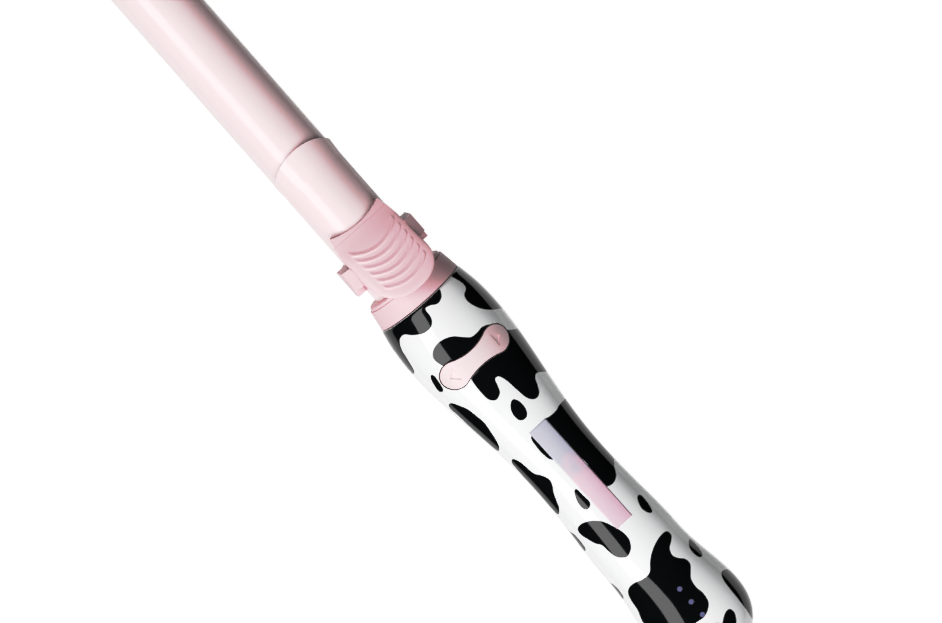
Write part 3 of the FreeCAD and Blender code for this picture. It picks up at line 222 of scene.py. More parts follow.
PHOTO_PATCHES = {
    "by_collar_left": [
        (437, 286), (441, 293), (441, 299), (437, 304), (430, 305.5), (425, 309), (429, 314), (432, 320),
        (431, 327), (424, 333), (413, 335), (404, 334.5), (400, 340), (402, 349), (408, 359), (415, 372),
        (409, 374), (392, 352), (376, 332), (385, 322), (405, 308), (425, 292),
    ],
    "by_collar_right": [
        (450, 270), (451, 276), (457, 280), (463, 284), (465.5, 289), (464, 295), (467, 301), (474, 306),
        (482, 309), (490, 310), (499, 309), (512, 306), (508, 294), (486, 274), (466, 256), (453, 262),
    ],
    "round_rocker": [
        (445, 366), (439, 363.5), (433.5, 358), (433, 351), (437, 344), (444, 339), (453, 336.3), (463, 337),
        (471, 337), (477, 332.5), (482, 327), (490, 324.5), (499, 326), (508, 330), (519, 329), (536, 330),
        (553, 350), (563, 372), (546, 372), (537, 373), (535, 378), (538, 387), (539, 394), (535, 399),
        (527, 398), (517, 390), (507, 381), (499, 376.5), (495, 379), (498, 386), (500, 393), (496, 400),
        (488, 399), (480, 391), (474, 383.5), (466, 372), (455, 364),
    ],
    "by_rocker_left": [
        (431.5, 374.5), (435, 376), (440, 383), (443.5, 389), (443, 391.5), (439, 391), (434.5, 385),
        (431, 378),
    ],
    "long_left": [
        (449, 404), (453, 403), (460, 405.5), (468, 409), (477, 416), (485, 423), (492, 433), (497, 441),
        (499.5, 447), (498.5, 451), (492, 447), (482, 438), (470, 427), (459, 416), (451, 409),
    ],
    "drop": [
        (512, 400), (514, 399), (519, 401), (524, 406), (527, 412), (526.5, 417), (523, 420), (519, 420),
        (514, 416), (511, 410), (510.5, 404),
    ],
    "under_label": [
        (560, 404), (556, 410.5), (550, 416), (545, 419), (537, 428), (531, 437), (536, 446), (543, 454),
        (551, 459.5), (561, 458), (571, 456), (581, 458.5), (587, 464), (591, 471), (597, 479), (603, 486),
        (609, 486), (614, 482), (616, 475), (614, 467), (613, 458), (606, 444), (598, 428), (583, 408),
        (571, 396),
    ],
    "second_long_left": [
        (512, 459.5), (515, 459), (522, 463), (530, 470), (535, 473.5), (541, 475), (547, 477.5), (551, 481),
        (553, 487), (554, 493), (557, 501), (559.5, 508), (559, 514), (556, 513), (548, 505), (538, 494),
        (526, 480), (517, 469), (512.5, 463),
    ],
    "beside_label": [
        (575, 489.5), (577, 489), (583, 495), (590, 502), (590, 506), (588, 509), (584, 509), (579, 504),
        (576, 498), (574.5, 492),
    ],
    "below_label": [
        (578, 528), (581, 524), (587, 521.5), (595, 520.5), (603, 521.5), (611, 525), (619, 529.5),
        (624, 533), (629, 539), (631, 546), (630, 552), (627, 556.5), (622, 557.5), (616, 556.5),
        (611, 553), (606.5, 549), (602, 545), (595, 543), (588, 539), (582, 535), (578.5, 531),
    ],
    "small_right": [
        (638, 495.5), (641, 495.5), (646, 501), (650, 507), (652, 511), (650.5, 513), (646, 512), (641, 508),
        (638, 502), (637, 498),
    ],
    "round_lamps": [
        (667, 531.5), (671, 535), (671, 541), (669.5, 548), (672, 555), (678, 558), (685, 559), (690, 564),
        (690.5, 572), (691, 579), (696, 587), (703, 593), (708, 601), (708, 609), (704, 617), (697, 622),
        (690, 628), (684, 640), (672, 648), (658, 640), (648, 628), (642, 620), (638, 610), (632, 601),
        (628.5, 594), (629, 588), (634, 583), (641, 580), (647, 576), (650, 571), (650, 563), (651.5, 553),
        (656, 542), (662, 534),
    ],
    "second_small_right": [
        (688.5, 540), (691, 540), (695, 544), (699, 549), (702, 554), (701, 557), (697, 556.5),
        (692, 552), (689, 547),
    ],
    "long_right": [
        (721, 573), (724, 570), (731, 570), (744, 572), (760, 592), (768, 620), (764, 640), (757, 632),
        (750, 616), (740, 602), (730, 589.5), (723, 580),
    ],
    "by_tail": [
        (729, 609), (733, 611), (735.5, 616), (736, 624), (733, 634), (727, 638), (722, 632),
        (722.5, 622), (725, 613),
    ],
    "left_edge": [(573, 533), (577.5, 537), (582.5, 543), (586.5, 550.5), (579, 553), (565, 534)],
    "second_left_edge": [(612, 584), (617.5, 587.5), (621.5, 592.5), (624.5, 599), (617, 604), (605, 590)],
}

# Patches on the unseen rear: station in mm, angle in degrees, half length, half breadth, lean, wave phase
REAR_PATCHES = [
    (168, 170, 8, 7, 20, 0.3), (150, 205, 10, 6, -35, 1.9), (146, 150, 7, 9, 50, 4.1),
    (128, 185, 9, 5, 15, 2.6), (121, 140, 4, 3, 0, 0.9), (112, 222, 6, 4, -20, 3.4),
    (104, 172, 10, 6, 65, 5.2), (88, 204, 8, 5, -50, 1.2), (86, 150, 5, 6, 10, 2.2),
    (70, 178, 9, 6, 30, 0.6), (62, 226, 6, 4, 60, 4.7), (54, 146, 7, 5, -15, 3.0),
    (44, 196, 10, 8, 40, 1.5), (28, 166, 7, 8, -30, 5.6), (22, 214, 6, 5, 10, 2.9),
    (12, 186, 4, 3, 0, 0.4),
]
UNROLL_RADIUS = 17 * MM
PRINT_REACH = 3 * MM


def rounded_outline(points, per_stretch=6):
    """Smooth closed curve through the points."""
    p = np.array(points, float)
    before, after, later = np.roll(p, 1, 0), np.roll(p, -1, 0), np.roll(p, -2, 0)
    curve = []
    for t in np.arange(per_stretch) / per_stretch:
        curve.append(
            0.5 * (2 * p + (after - before) * t + (2 * before - 5 * p + 4 * after - later) * t**2
                   + (3 * p - before - 3 * after + later) * t**3)
        )
    return np.stack(curve, axis=1).reshape(-1, 2)


def wavy_outline(x, degrees, half_length, half_breadth, lean, phase, corners=48):
    """Unrolled outline of a generic patch: an oval with two slow waves round it."""
    a = np.linspace(0, 2 * math.pi, corners, endpoint=False)
    reach = 1 + 0.16 * np.sin(2 * a + phase) + 0.13 * np.sin(3 * a + 2 * phase)
    length = half_length * MM * reach * np.cos(a)
    breadth = half_breadth * MM * reach * np.sin(a)
    lean = math.radians(lean)
    along = x * MM + length * math.cos(lean) - breadth * math.sin(lean)
    round_side = math.radians(degrees) * UNROLL_RADIUS + length * math.sin(lean) + breadth * math.cos(lean)
    return np.stack([along, round_side], axis=1)


def print_outlines():
    """All patches as unrolled outlines: station, and angle times the unroll radius."""
    outlines = []
    for points in PHOTO_PATCHES.values():
        x, angle = from_pixels(rounded_outline(points))
        outlines.append(np.stack([x, angle * UNROLL_RADIUS], axis=1))
    outlines += [wavy_outline(*patch) for patch in REAR_PATCHES]
    return outlines


def signed_distance(places, outline):
    """Distance of unrolled places from the outline, below zero inside it."""
    nearest = np.full(len(places), 1e9)
    inside = np.zeros(len(places), bool)
    for start, end in zip(outline, np.roll(outline, -1, 0)):
        run = end - start
        offset = places - start
        part = np.clip(offset @ run / max(run @ run, 1e-18), 0, 1)
        nearest = np.minimum(nearest, np.linalg.norm(offset - part[:, None] * run, axis=1))
        if start[1] != end[1]:
            crosses = (start[1] > places[:, 1]) != (end[1] > places[:, 1])
            at = start[0] + (places[:, 1] - start[1]) / (end[1] - start[1]) * run[0]
            inside ^= crosses & (places[:, 0] < at)
    return np.where(inside, -nearest, nearest)


def print_field(places):
    """Distance to the nearest patch for each unrolled place, below zero inside a patch."""
    field = np.full(len(places), PRINT_REACH)
    whole_turn = 2 * math.pi * UNROLL_RADIUS
    for outline in print_outlines():
        for shift in (-whole_turn, 0, whole_turn):
            moved = outline + np.array([0, shift])
            low = moved.min(0) - PRINT_REACH
            high = moved.max(0) + PRINT_REACH
            near = np.all((places > low) & (places < high), axis=1)
            if near.any():
                field[near] = np.minimum(field[near], signed_distance(places[near], moved))
    return field


# Meshes

def new_object(name, points, faces, smooth=True):
    """Mesh object from points in metres and faces."""
    mesh = bpy.data.meshes.new(name)
    mesh.from_pydata([tuple(p) for p in points], [], faces)
    mesh.validate()
    work = bmesh.new()
    work.from_mesh(mesh)
    bmesh.ops.recalc_face_normals(work, faces=work.faces)
    work.to_mesh(mesh)
    work.free()
    for polygon in mesh.polygons:
        polygon.use_smooth = smooth
    obj = bpy.data.objects.new(name, mesh)
    bpy.context.scene.collection.objects.link(obj)
    return obj


def slab(name, outer, inner):
    """Closed slab between two grids of points with the same rows and columns."""
    rows, columns, _ = outer.shape
    shift = rows * columns

    def at(i, j):
        return i * columns + j

    faces = []
    for i in range(rows - 1):
        for j in range(columns - 1):
            quad = [at(i, j), at(i, j + 1), at(i + 1, j + 1), at(i + 1, j)]
            faces.append(quad)
            faces.append([k + shift for k in reversed(quad)])
    rim = [at(0, j) for j in range(columns)]
    rim += [at(i, columns - 1) for i in range(1, rows)]
    rim += [at(rows - 1, j) for j in range(columns - 2, -1, -1)]
    rim += [at(i, 0) for i in range(rows - 2, 0, -1)]
    for a, b in zip(rim, rim[1:] + rim[:1]):
        faces.append([b, a, a + shift, b + shift])
    return new_object(name, np.concatenate([outer.reshape(-1, 3), inner.reshape(-1, 3)]), faces)


def prism(name, outline, low, high):
    """Upright prism over a flat outline of x and y."""
    count = len(outline)
    points = [(x, y, low) for x, y in outline] + [(x, y, high) for x, y in outline]
    faces = [list(range(count - 1, -1, -1)), list(range(count, 2 * count))]
    for a in range(count):
        b = (a + 1) % count
        faces.append([a, b, b + count, a + count])
    return new_object(name, points, faces, smooth=False)


def disc(x, y, radius, corners=48):
    """Flat round outline."""
    turns = [2 * math.pi * i / corners for i in range(corners)]
    return [(x + radius * math.cos(t), y + radius * math.sin(t)) for t in turns]


def arc(x, y, radius, start, end, corners=24):
    """Flat arc from one angle to the other."""
    turns = [start + (end - start) * i / corners for i in range(corners)]
    return [(x + radius * math.cos(t), y + radius * math.sin(t)) for t in turns]


def bone(grow):
    """Outline of the rocker button, grown by a margin."""
    lobe = ROCKER_LOBE + grow
    neck = ROCKER_NECK / 2 + grow
    side = (ROCKER_REACH**2 + neck**2 - lobe**2) / (2 * (lobe - neck))
    away = side + neck
    lean = math.atan2(ROCKER_REACH, away)
    outline = arc(ROCKER_X, ROCKER_REACH, lobe, -lean, math.pi + lean)
    outline += arc(ROCKER_X - away, 0, side, lean, -lean)
    outline += arc(ROCKER_X, -ROCKER_REACH, lobe, math.pi - lean, 2 * math.pi + lean)
    outline += arc(ROCKER_X + away, 0, side, math.pi + lean, math.pi - lean)
    return outline


def cut_out(obj, cutters):
    """Cuts the cutters out of the object's mesh and deletes them."""
    for cutter in cutters:
        modifier = obj.modifiers.new(cutter.name, "BOOLEAN")
        modifier.operation = "DIFFERENCE"
        modifier.solver = "EXACT"
        modifier.object = cutter
    view = bpy.context.evaluated_depsgraph_get()
    mesh = bpy.data.meshes.new_from_object(obj.evaluated_get(view))
    obj.modifiers.clear()
    obj.data = mesh
    for cutter in cutters:
        bpy.data.objects.remove(cutter)


# Printed film over each half of the handle

FILM_LIFT = 0.17 * MM
FILM_SINK = -0.05 * MM
FILM_RIM_LIFT = 0.02 * MM
FILM_ROWS = 230
FILM_COLUMNS = 80
FILM_END_GAP = 0.0005
ROW_CROWDING = 1.25
SEAM_GAP = 0.22 * MM
SEAM_RADIUS = 0.018
OPENING_MARGIN = 0.42 * MM
CUT_START = 5 * MM
CUT_END = 30 * MM


def film(name, middle_angle, cutters):
    """Film over the half of the handle round that angle, with its print as a distance on each point."""
    span = MOUTH_X - TAIL_X
    share = np.linspace(0, 1, FILM_ROWS) ** ROW_CROWDING
    x = TAIL_X + span * (FILM_END_GAP + (1 - 2 * FILM_END_GAP) * share)
    edge = math.pi / 2 - SEAM_GAP / SEAM_RADIUS
    angle = middle_angle + np.linspace(-edge, edge, FILM_COLUMNS)
    rows, columns = np.meshgrid(x, angle, indexing="ij")
    lift = np.full(rows.shape, FILM_LIFT)
    for rim in (lift[0], lift[-1], lift[:, 0], lift[:, -1]):
        rim[:] = FILM_RIM_LIFT
    half = slab(name, on_handle(rows, columns, lift), on_handle(rows, columns, FILM_SINK))
    cut_out(half, cutters)
    count = len(half.data.vertices)
    places = np.empty(count * 3, np.float32)
    half.data.vertices.foreach_get("co", places)
    places = places.reshape(-1, 3).astype(float)
    inside = np.clip(places[:, 0], TAIL_X, MOUTH_X)
    turned = np.arctan2(-places[:, 1] / half_width(inside), places[:, 2] / half_depth(inside))
    field = print_field(np.stack([places[:, 0], turned * UNROLL_RADIUS], axis=1))
    layer = half.data.attributes.new("print_distance", "FLOAT", "POINT")
    layer.data.foreach_set("value", (field / MM).astype(np.float32))
    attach(half, "handle")
    return half


LAMP_INSET = 0.2 * MM
LAMP_HOLE = 0.95 * MM
POWER_HOLE = POWER_RADIUS + 0.35 * MM
SCREW_HOLE = 2.65 * MM


def lamp_places():
    """Stations of the three lamp windows, from the lamps in the frame."""
    low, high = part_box("indicator_leds")
    half = (high.y - low.y) / 2
    first = low.x + half + LAMP_INSET
    last = high.x - half - LAMP_INSET
    return [first, (first + last) / 2, last]


def screw_places():
    """Places of the four handle screws, from the frame."""
    mesh = nodes["handle_screws"].data
    spots = {}
    for v in mesh.vertices:
        key = (v.co.x > ROCKER_X / 2, v.co.y > 0)
        spots.setdefault(key, []).append(v.co)
    return [
        ((min(p.x for p in s) + max(p.x for p in s)) / 2, (min(p.y for p in s) + max(p.y for p in s)) / 2)
        for s in spots.values()
    ]


def make_films():
    """Front film with its openings and rear film with its screw holes."""
    front_cutters = [prism("rocker_cut", bone(OPENING_MARGIN), CUT_START, CUT_END)]
    front_cutters.append(prism("power_cut", disc(POWER_X, 0, POWER_HOLE), CUT_START, CUT_END))
    for i, x in enumerate(lamp_places()):
        front_cutters.append(prism(f"lamp_cut_{i}", disc(x, 0, LAMP_HOLE), CUT_START, CUT_END))
    rear_cutters = []
    for i, (x, y) in enumerate(screw_places()):
        rear_cutters.append(prism(f"screw_cut_{i}", disc(x, y, SCREW_HOLE), -CUT_END, -CUT_START))
    front = film("printed_film_front", 0.0, front_cutters)
    rear = film("printed_film_rear", math.pi, rear_cutters)
    return front, rear


# Plain two-tone label strip, its lettering left off

LABEL_CORNERS = [(529, 433), (545, 418), (632, 515), (617, 529)]
LABEL_LIFT = 0.24 * MM
LABEL_SINK = 0.12 * MM


def make_label(rows=60, columns=16):
    """Strip between four pixels of the photograph, laid on the film."""
    first, second, third, last = [np.array(c, float) for c in LABEL_CORNERS]
    down = np.linspace(0, 1, rows)[:, None, None]
    over = np.linspace(0, 1, columns)[None, :, None]
    upper = first * (1 - over) + second * over
    lower = last * (1 - over) + third * over
    pixels = upper * (1 - down) + lower * down
    x, angle = from_pixels(pixels.reshape(-1, 2))
    x, angle = x.reshape(rows, columns), angle.reshape(rows, columns)
    strip = slab("label_strip", on_handle(x, angle, LABEL_LIFT), on_handle(x, angle, LABEL_SINK))
    progress = np.tile(np.repeat(np.linspace(0, 1, rows), columns), 2)
    layer = strip.data.attributes.new("progress", "FLOAT", "POINT")
    layer.data.foreach_set("value", progress.astype(np.float32))
    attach(strip, "handle")
    return strip


# Soft skin of the thumb lever: a pillowed rim and rounded grip ribs over the CAD lever

RIB_COUNT = 6
RIB_RADIUS = 15.5 * MM
RIB_PITCH = 3.15 * MM
FIRST_RIB_X = 206.9 * MM
RIB_HALF_SPAN = 10.0 * MM
RIB_SPAN_STEP = 0.14 * MM
RIB_STEEP_WIDTH = 0.55 * MM
RIB_GENTLE_WIDTH = 1.5 * MM
RIB_END_WIDTH = 0.8 * MM
RIB_SET_BACK = 0.2 * MM
RIB_HEIGHT = 0.38 * MM
RIB_SHIFT = 0.6 * MM
RIB_SHIFT_STEP = 0.1 * MM
SKIN_HEIGHT = 0.7 * MM
SKIN_ROUNDING = 2.4 * MM
SKIN_SINK = 0.3 * MM
SKIN_CLEARANCE = 0.03 * MM
SKIN_FAR_X = 216.3 * MM
SKIN_FADE = 9 * MM
SKIN_HALF = 13.2 * MM
SKIN_STRAIGHT = 4 * MM
SKIN_FAR_HALF = 12.1 * MM
SKIN_END_LENGTH = 11.5 * MM
SKIN_SKEW = 1.3 * MM
SKIN_END_POWER = 2.3
HINGE_X = 203.5 * MM

# Where the CAD lever's top is sampled
TOP_INSET = 0.3 * MM
TOP_OVERRUN = 0.6 * MM
TOP_HALF = 12.5 * MM
TOP_LOWEST = 12 * MM
TOP_STEP_ALONG = 0.4 * MM
TOP_STEP_ACROSS = 0.5 * MM
TOP_FROM_RIBS = 1.0 * MM
LEVER_SCALE = 20 * MM


def smooth_step(value):
    """Soft ramp from nought to one."""
    held = np.clip(value, 0, 1)
    return held * held * (3 - 2 * held)


def from_ribs(x, y):
    """Distance from the nearest CAD rib's middle line, in plan."""
    centres = [FIRST_RIB_X - i * RIB_PITCH + RIB_RADIUS for i in range(RIB_COUNT)]
    return min(abs(math.hypot(x - centre, y) - RIB_RADIUS) for centre in centres)


def rib_shapes(x, y):
    """Soft ribs from nought to one, each steep on the handle's side and gentle on the barrel's side."""
    tallest = np.zeros(np.shape(x))
    for i in range(RIB_COUNT):
        centre = FIRST_RIB_X - RIB_SET_BACK - i * RIB_PITCH + RIB_RADIUS
        aside = y + RIB_SHIFT + i * RIB_SHIFT_STEP
        span = RIB_HALF_SPAN - i * RIB_SPAN_STEP
        outward = np.hypot(x - centre, aside) - RIB_RADIUS
        width = np.where(outward > 0, RIB_STEEP_WIDTH, RIB_GENTLE_WIDTH)
        past_end = np.clip(np.abs(aside) - span, 0, 1)
        away = np.clip(np.hypot(outward / width, past_end / RIB_END_WIDTH), 0, 1)
        tallest = np.maximum(tallest, 0.5 + 0.5 * np.cos(math.pi * away))
    return tallest


def lever_powers(x, y):
    """Terms of the smooth surface that the lever's top is fitted with."""
    along = (x - lever_low.x) / LEVER_SCALE
    across = (y / lever_high.y) ** 2
    return np.stack([along**i * across**j for i in range(4) for j in range(3)], axis=-1)


def lever_top():
    """Height of the CAD lever's top between its ribs, as a smooth function."""
    mesh = nodes["thumb_lever"].data
    tree = BVHTree.FromPolygons([v.co for v in mesh.vertices], [p.vertices for p in mesh.polygons])
    places = []
    heights = []
    far = 0.1
    for x in np.arange(lever_low.x + TOP_INSET, SKIN_FAR_X + TOP_OVERRUN, TOP_STEP_ALONG):
        for y in np.arange(-TOP_HALF, TOP_HALF + TOP_STEP_ACROSS / 5, TOP_STEP_ACROSS):
            spot = tree.ray_cast((x, y, far), (0, 0, -1))[0]
            if spot and spot.z > TOP_LOWEST and from_ribs(x, y) > TOP_FROM_RIBS:
                places.append((x, y))
                heights.append(spot.z)
    places = np.array(places)
    powers = lever_powers(places[:, 0], places[:, 1])
    weights = np.linalg.lstsq(powers, np.array(heights), rcond=None)[0]
    return lambda x, y: lever_powers(x, y) @ weights


def make_lever_skin(rows=220, columns=130):
    """Closed skin over the lever from its rounded end to the smooth part by the blade."""
    top = lever_top()
    end = lever_low.x
    x = end + (SKIN_FAR_X - end) * np.linspace(0.001, 1, rows) ** ROW_CROWDING
    narrowing = smooth_step((x - HINGE_X - SKIN_STRAIGHT) / (SKIN_FAR_X - HINGE_X))
    half = SKIN_HALF - (SKIN_HALF - SKIN_FAR_HALF) * narrowing
    back = np.clip((end + SKIN_END_LENGTH - x) / SKIN_END_LENGTH, 0, 1)
    reach = half * (1 - back**SKIN_END_POWER) ** (1 / SKIN_END_POWER)
    skew = SKIN_SKEW * smooth_step((HINGE_X - x) / (HINGE_X - end))
    x, across = np.meshgrid(x, np.sin(np.linspace(-1, 1, columns) * math.pi / 2), indexing="ij")
    plan_y = across * reach[:, None]
    y = plan_y - skew[:, None]
    to_side = half[:, None] - np.abs(plan_y)
    aside = np.abs(plan_y / half[:, None]) ** SKIN_END_POWER
    bow = 1 - np.clip(1 - aside, 0, 1) ** (1 / SKIN_END_POWER)
    to_end = x - end - SKIN_END_LENGTH * bow
    diagonal = np.maximum(np.hypot(to_side, to_end), 1e-9)
    inward = np.clip(to_side, 0, 1) * np.clip(to_end, 0, 1) / diagonal
    pillow = np.sqrt(1 - (1 - np.clip(inward / SKIN_ROUNDING, 0, 1)) ** 2)
    fade = smooth_step((SKIN_FAR_X - x) / SKIN_FADE)
    lift = SKIN_CLEARANCE + SKIN_HEIGHT * pillow * fade + RIB_HEIGHT * rib_shapes(x, y)
    floor = top(x, y)
    outer = np.stack([x, y, floor + lift], axis=-1)
    inner = np.stack([x, y, floor - SKIN_SINK], axis=-1)
    skin = slab("lever_skin", outer, inner)
    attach(skin, "clip")
    return skin


# Clip spring: a copy of the CAD spring's own mesh, carried by the rotor


def make_spring():
    """Stands for the stiff CAD spring as a copy of its mesh, carried with the rotor."""
    stiff = nodes["clip_spring"]
    spring = bpy.data.objects.new("clip_spring_wire", stiff.data.copy())
    bpy.context.scene.collection.objects.link(spring)
    spring.matrix_world = stiff.matrix_world
    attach(spring, "rotor")
    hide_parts("clip_spring")
    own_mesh(spring)
    return spring


# Materials

NOISE_LOW = 0.3
NOISE_HIGH = 0.7


class Surface:
    """A node material with helpers for its links."""

    def __init__(self, name):
        self.material = bpy.data.materials.new(name)
        self.material.use_nodes = True
        self.tree = self.material.node_tree
        self.shader = self.tree.nodes["Principled BSDF"]
        self.place = self.tree.nodes.new("ShaderNodeTexCoord").outputs["Object"]

    def set(self, **values):
        """Sets the shader's own values; an underscore in a name stands for a blank."""
        for socket, number in values.items():
            self.shader.inputs[socket.replace("_", " ")].default_value = number

    def node(self, kind, **links):
        """New node with its inputs set or linked."""
        made = self.tree.nodes.new(kind)
        for socket, given in links.items():
            self.join(given, made.inputs[socket.replace("_", " ")])
        return made

    def join(self, given, socket):
        """Links an output to the socket, or sets the socket to a constant."""
        if isinstance(given, bpy.types.NodeSocket):
            self.tree.links.new(given, socket)
        else:
            socket.default_value = given

    def noise(self, scale, detail=3.0, stretch=(1, 1, 1)):
        """Noise in the iron's own space, its grain stretched along the axes."""
        mapping = self.node("ShaderNodeMapping", Vector=self.place)
        mapping.inputs["Scale"].default_value = stretch
        made = self.node("ShaderNodeTexNoise", Vector=mapping.outputs[0], Scale=scale, Detail=detail)
        return made.outputs["Fac"]

    def spread(self, value, low, high):
        """Maps the middle of a noise to a range."""
        made = self.node("ShaderNodeMapRange", Value=value)
        made.inputs["From Min"].default_value = NOISE_LOW
        made.inputs["From Max"].default_value = NOISE_HIGH
        made.inputs["To Min"].default_value = low
        made.inputs["To Max"].default_value = high
        return made.outputs[0]

    def blend(self, factor, first, second):
        """Mixes two colours."""
        made = self.tree.nodes.new("ShaderNodeMix")
        made.data_type = "RGBA"
        self.join(factor, made.inputs[0])
        self.join(first, made.inputs[6])
        self.join(second, made.inputs[7])
        return made.outputs[2]

    def colour(self, given):
        """Sets or links the base colour."""
        self.join(given, self.shader.inputs["Base Color"])

    def roughness(self, given):
        """Sets or links the roughness."""
        self.join(given, self.shader.inputs["Roughness"])

    def bump(self, height, depth):
        """Raises the surface by the height times a depth in metres."""
        made = self.node("ShaderNodeBump", Height=height, Distance=depth, Strength=1.0)
        self.join(made.outputs[0], self.shader.inputs["Normal"])


def tint(colour, factor):
    """Colour made lighter or darker, with full alpha."""
    return tuple(min(1.0, c * factor) for c in colour) + (1.0,)


MOTTLE_SCALE = 60
GLOSS_SCALE = 240
UNEVEN_GLOSS = 0.2


def plain_surface(
    name, colour, rough, metal=0.0, grain=900, depth=0.004 * MM, mottle=0.04, stretch=(1, 1, 1), **extra
):
    """Moulded or turned surface: slow mottling of its colour, uneven gloss and a fine grain."""
    surface = Surface(name)
    surface.set(Metallic=metal, **extra)
    slow = surface.noise(MOTTLE_SCALE, 2.0)
    surface.colour(surface.blend(slow, tint(colour, 1 - mottle), tint(colour, 1 + mottle)))
    patchy = surface.noise(GLOSS_SCALE, 4.0, stretch)
    surface.roughness(surface.spread(patchy, rough * (1 - UNEVEN_GLOSS), rough * (1 + UNEVEN_GLOSS)))
    surface.bump(surface.noise(grain, 2.0, stretch), depth)
    return surface.material


WHITE_GLOSS = (0.82, 0.825, 0.83)
PRINT_BLACK = (0.004, 0.0045, 0.005)
PRINT_EDGE_IN_MM = 0.09


def printed_surface():
    """Glossy white film with the black print, its edges drawn by the distance on the mesh."""
    surface = Surface("printed_gloss")
    surface.set(IOR=1.45, Specular_IOR_Level=0.48)
    slow = surface.noise(45, 2.0)
    white = surface.blend(slow, tint(WHITE_GLOSS, 0.985), tint(WHITE_GLOSS, 1.015))
    distance = surface.node("ShaderNodeAttribute")
    distance.attribute_name = "print_distance"
    edge = surface.node("ShaderNodeMapRange", Value=distance.outputs["Fac"])
    edge.interpolation_type = "SMOOTHSTEP"
    edge.inputs["From Min"].default_value = -PRINT_EDGE_IN_MM
    edge.inputs["From Max"].default_value = PRINT_EDGE_IN_MM
    surface.colour(surface.blend(edge.outputs[0], tint(PRINT_BLACK, 1), white))
    surface.roughness(surface.spread(surface.noise(180, 3.0), 0.05, 0.08))
    surface.bump(surface.noise(220, 1.0), 0.0015 * MM)
    return surface.material


LABEL_LAVENDER = (0.46, 0.455, 0.52)
LABEL_PINK = (0.66, 0.468, 0.535)
LABEL_SWAY = 0.14
LABEL_TURN_START = 0.3
LABEL_TURN_END = 0.6


def label_surface():
    """Pastel strip that runs from lavender to pink."""
    surface = Surface("label_pastel")
    surface.set(IOR=1.45, Specular_IOR_Level=0.3)
    progress = surface.node("ShaderNodeAttribute")
    progress.attribute_name = "progress"
    sway = surface.spread(surface.noise(120, 2.0), -LABEL_SWAY, LABEL_SWAY)
    shifted = surface.node("ShaderNodeMath")
    surface.join(progress.outputs["Fac"], shifted.inputs[0])
    surface.join(sway, shifted.inputs[1])
    ramp = surface.node("ShaderNodeMapRange", Value=shifted.outputs[0])
    ramp.interpolation_type = "SMOOTHSTEP"
    ramp.inputs["From Min"].default_value = LABEL_TURN_START
    ramp.inputs["From Max"].default_value = LABEL_TURN_END
    surface.colour(surface.blend(ramp.outputs[0], tint(LABEL_LAVENDER, 1), tint(LABEL_PINK, 1)))
    surface.roughness(surface.spread(surface.noise(300, 3.0), 0.18, 0.26))
    surface.bump(surface.noise(1500, 2.0), 0.001 * MM)
    return surface.material


BARREL_PINK = (0.84, 0.65, 0.667)
LEVER_PINK = (0.745, 0.495, 0.525)
BUTTON_PINK = (0.735, 0.565, 0.58)

# Collar and hinge saddle are moulded in a duller pink than the lever
PALE_NODES = ["collar", "hinge_saddle"]
PALE_PLASTIC = dict(
    colour=(0.72, 0.485, 0.515), rough=0.42, grain=2500, depth=0.004 * MM, mottle=0.02,
    Specular_IOR_Level=0.12,
)

SLOT_SURFACES = {
    "handle_print": dict(colour=WHITE_GLOSS, rough=0.12),
    "pink_plastic": dict(
        colour=LEVER_PINK, rough=0.34, grain=2500, depth=0.004 * MM, mottle=0.02, Specular_IOR_Level=0.35,
    ),
    "button_plastic": dict(colour=BUTTON_PINK, rough=0.38, grain=2500, depth=0.003 * MM, mottle=0.02),
    "barrel_coat": dict(
        colour=BARREL_PINK, rough=0.18, grain=500, depth=0.001 * MM, mottle=0.015, stretch=(0.1, 1, 1),
        Specular_IOR_Level=0.4,
    ),
    "black_plastic": dict(colour=(0.02, 0.02, 0.022), rough=0.45),
    "steel": dict(colour=(0.58, 0.58, 0.6), rough=0.3, metal=1.0, stretch=(1, 6, 6)),
    "brass": dict(colour=(0.72, 0.52, 0.22), rough=0.28, metal=1.0, stretch=(1, 6, 6)),
    "gear_plastic": dict(colour=(0.8, 0.78, 0.7), rough=0.4),
    "copper": dict(colour=(0.66, 0.33, 0.2), rough=0.3, metal=1.0),
    "board": dict(colour=(0.03, 0.16, 0.06), rough=0.35, mottle=0.12),
    "board_part": dict(colour=(0.03, 0.03, 0.032), rough=0.5),
    "lamp": dict(colour=(0.8, 0.8, 0.9), rough=0.2),
    "light_pipe": dict(
        colour=(0.1, 0.1, 0.2), rough=0.3, Emission_Color=(0.3, 0.3, 0.55, 1), Emission_Strength=0.15,
    ),
    "aluminium": dict(colour=(0.74, 0.74, 0.75), rough=0.35, metal=1.0, stretch=(0.1, 4, 4)),
    "heater": dict(colour=(0.72, 0.68, 0.6), rough=0.6),
}


def dress(obj, material):
    """Gives the object that one material."""
    obj.data.materials.clear()
    obj.data.materials.append(material)


def dress_frame():
    """Every CAD node takes the surface of its slot."""
    made = {slot: plain_surface(slot, **values) for slot, values in SLOT_SURFACES.items()}
    for row in frame["record"]["subparts"]:
        dress(nodes[row["node"]], made[row["material_slot"]])
    pale = plain_surface("pale_pink_plastic", **PALE_PLASTIC)
    for name in PALE_NODES:
        dress(nodes[name], pale)
    return made


# Studio

STAGE_GAP = 0.0005
STAGE_HEIGHT = cad_box[0].z - STAGE_GAP
IRON_MIDDLE = Vector(((cad_box[0].x + cad_box[1].x) / 2, 0, 0))


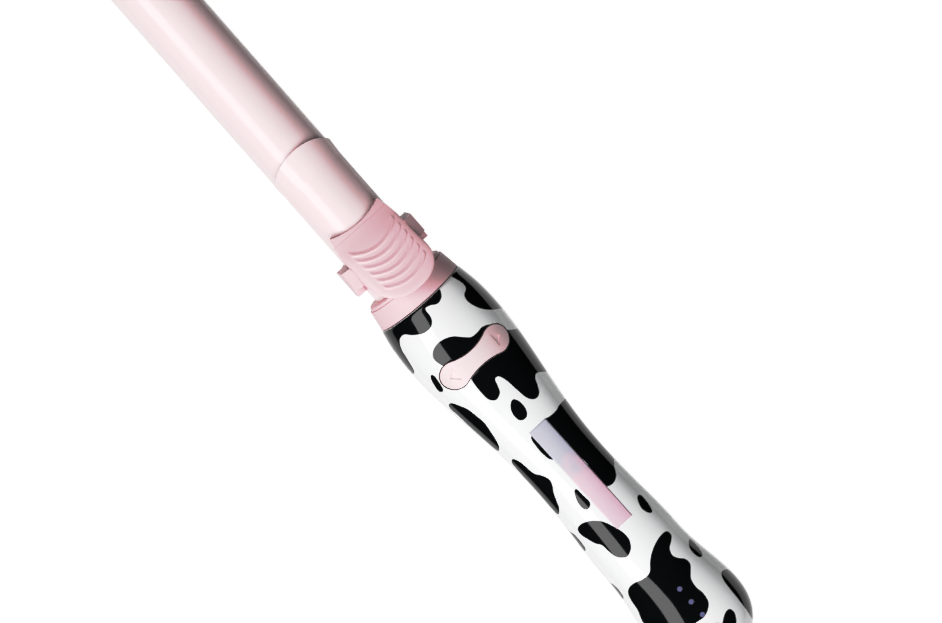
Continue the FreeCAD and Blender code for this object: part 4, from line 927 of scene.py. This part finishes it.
def make_floor(half=2.5):
    """Plain pale floor under the iron."""
    corners = [(-half, -half), (half, -half), (half, half), (-half, half)]
    points = [(IRON_MIDDLE.x + x, y, STAGE_HEIGHT) for x, y in corners]
    floor = new_object("floor", points, [[0, 1, 2, 3]], smooth=False)
    surface = Surface("pale_floor")
    surface.set(Roughness=0.9, Specular_IOR_Level=0.0, Emission_Strength=0.97)
    surface.shader.inputs["Emission Color"].default_value = (1, 1, 1, 1)
    surface.colour(surface.blend(surface.noise(3, 2.0), (0.08, 0.08, 0.08, 1), (0.1, 0.1, 0.1, 1)))
    dress(floor, surface.material)
    floor.visible_diffuse = False
    floor.visible_glossy = False
    floor.visible_shadow = False


LIT_POINT = Vector((MOUTH_X, 0, 0))


def make_light(name, right, down, distance, width, height, radiance, glossy=True):
    """Upright soft box that faces the collar, in degrees right of and below the line to the camera."""
    right = math.radians(right)
    down = math.radians(down)
    flat = math.cos(down)
    toward = Vector((math.sin(right) * flat, -math.sin(down), math.cos(right) * flat))
    across = Vector((0, 1, 0)).cross(toward).normalized()
    turn = CAMERA_TURN @ Matrix((across, toward.cross(across), toward)).transposed()
    data = bpy.data.lights.new(name, "AREA")
    data.shape = "RECTANGLE"
    data.size = width
    data.size_y = height
    data.energy = radiance * math.pi * width * height
    light = bpy.data.objects.new(name, data)
    light.matrix_world = Matrix.Translation(LIT_POINT + CAMERA_TURN @ toward * distance) @ turn.to_4x4()
    light.visible_glossy = glossy
    bpy.context.scene.collection.objects.link(light)


# Contrast of the photograph: scene light to picture light, with darker shades and softer highlights
TONE_POINTS = [(0.2, 0.165), (0.33, 0.335), (0.45, 0.57), (0.6, 0.74), (0.8, 0.875)]


def set_tone():
    """Puts the photograph's contrast on the picture."""
    settings = bpy.context.scene.view_settings
    settings.view_transform = "Standard"
    settings.use_curve_mapping = True
    curve = settings.curve_mapping.curves[3]
    for point in TONE_POINTS:
        curve.points.new(*point)
    settings.curve_mapping.update()


def make_studio():
    """Upright soft box on the left that mirrors in the gloss, a broad dull fill and a white card behind."""
    make_light("strip_box", right=-27.5, down=28, distance=1.6, width=0.72, height=2.4, radiance=5.0)
    make_light(
        "front_fill", right=18, down=24, distance=1.3, width=1.0, height=1.0, radiance=2.8, glossy=False,
    )
    make_light("white_card", right=180, down=0, distance=0.35, width=1.9, height=0.95, radiance=0.97)
    world = bpy.data.worlds.new("white_room")
    bpy.context.scene.world = world
    world.use_nodes = True
    background = world.node_tree.nodes["Background"]
    background.inputs["Color"].default_value = (1, 1, 1, 1)
    background.inputs["Strength"].default_value = 1.0
    world.cycles_visibility.diffuse = False
    world.cycles_visibility.glossy = False
    set_tone()


# The scene, piece by piece

surfaces = dress_frame()
dress(make_lever_skin(), surfaces["pink_plastic"])
dress(make_spring(), surfaces["steel"])
printed = printed_surface()
for half in make_films():
    dress(half, printed)
dress(make_label(), label_surface())
make_floor()
make_studio()
make_camera()
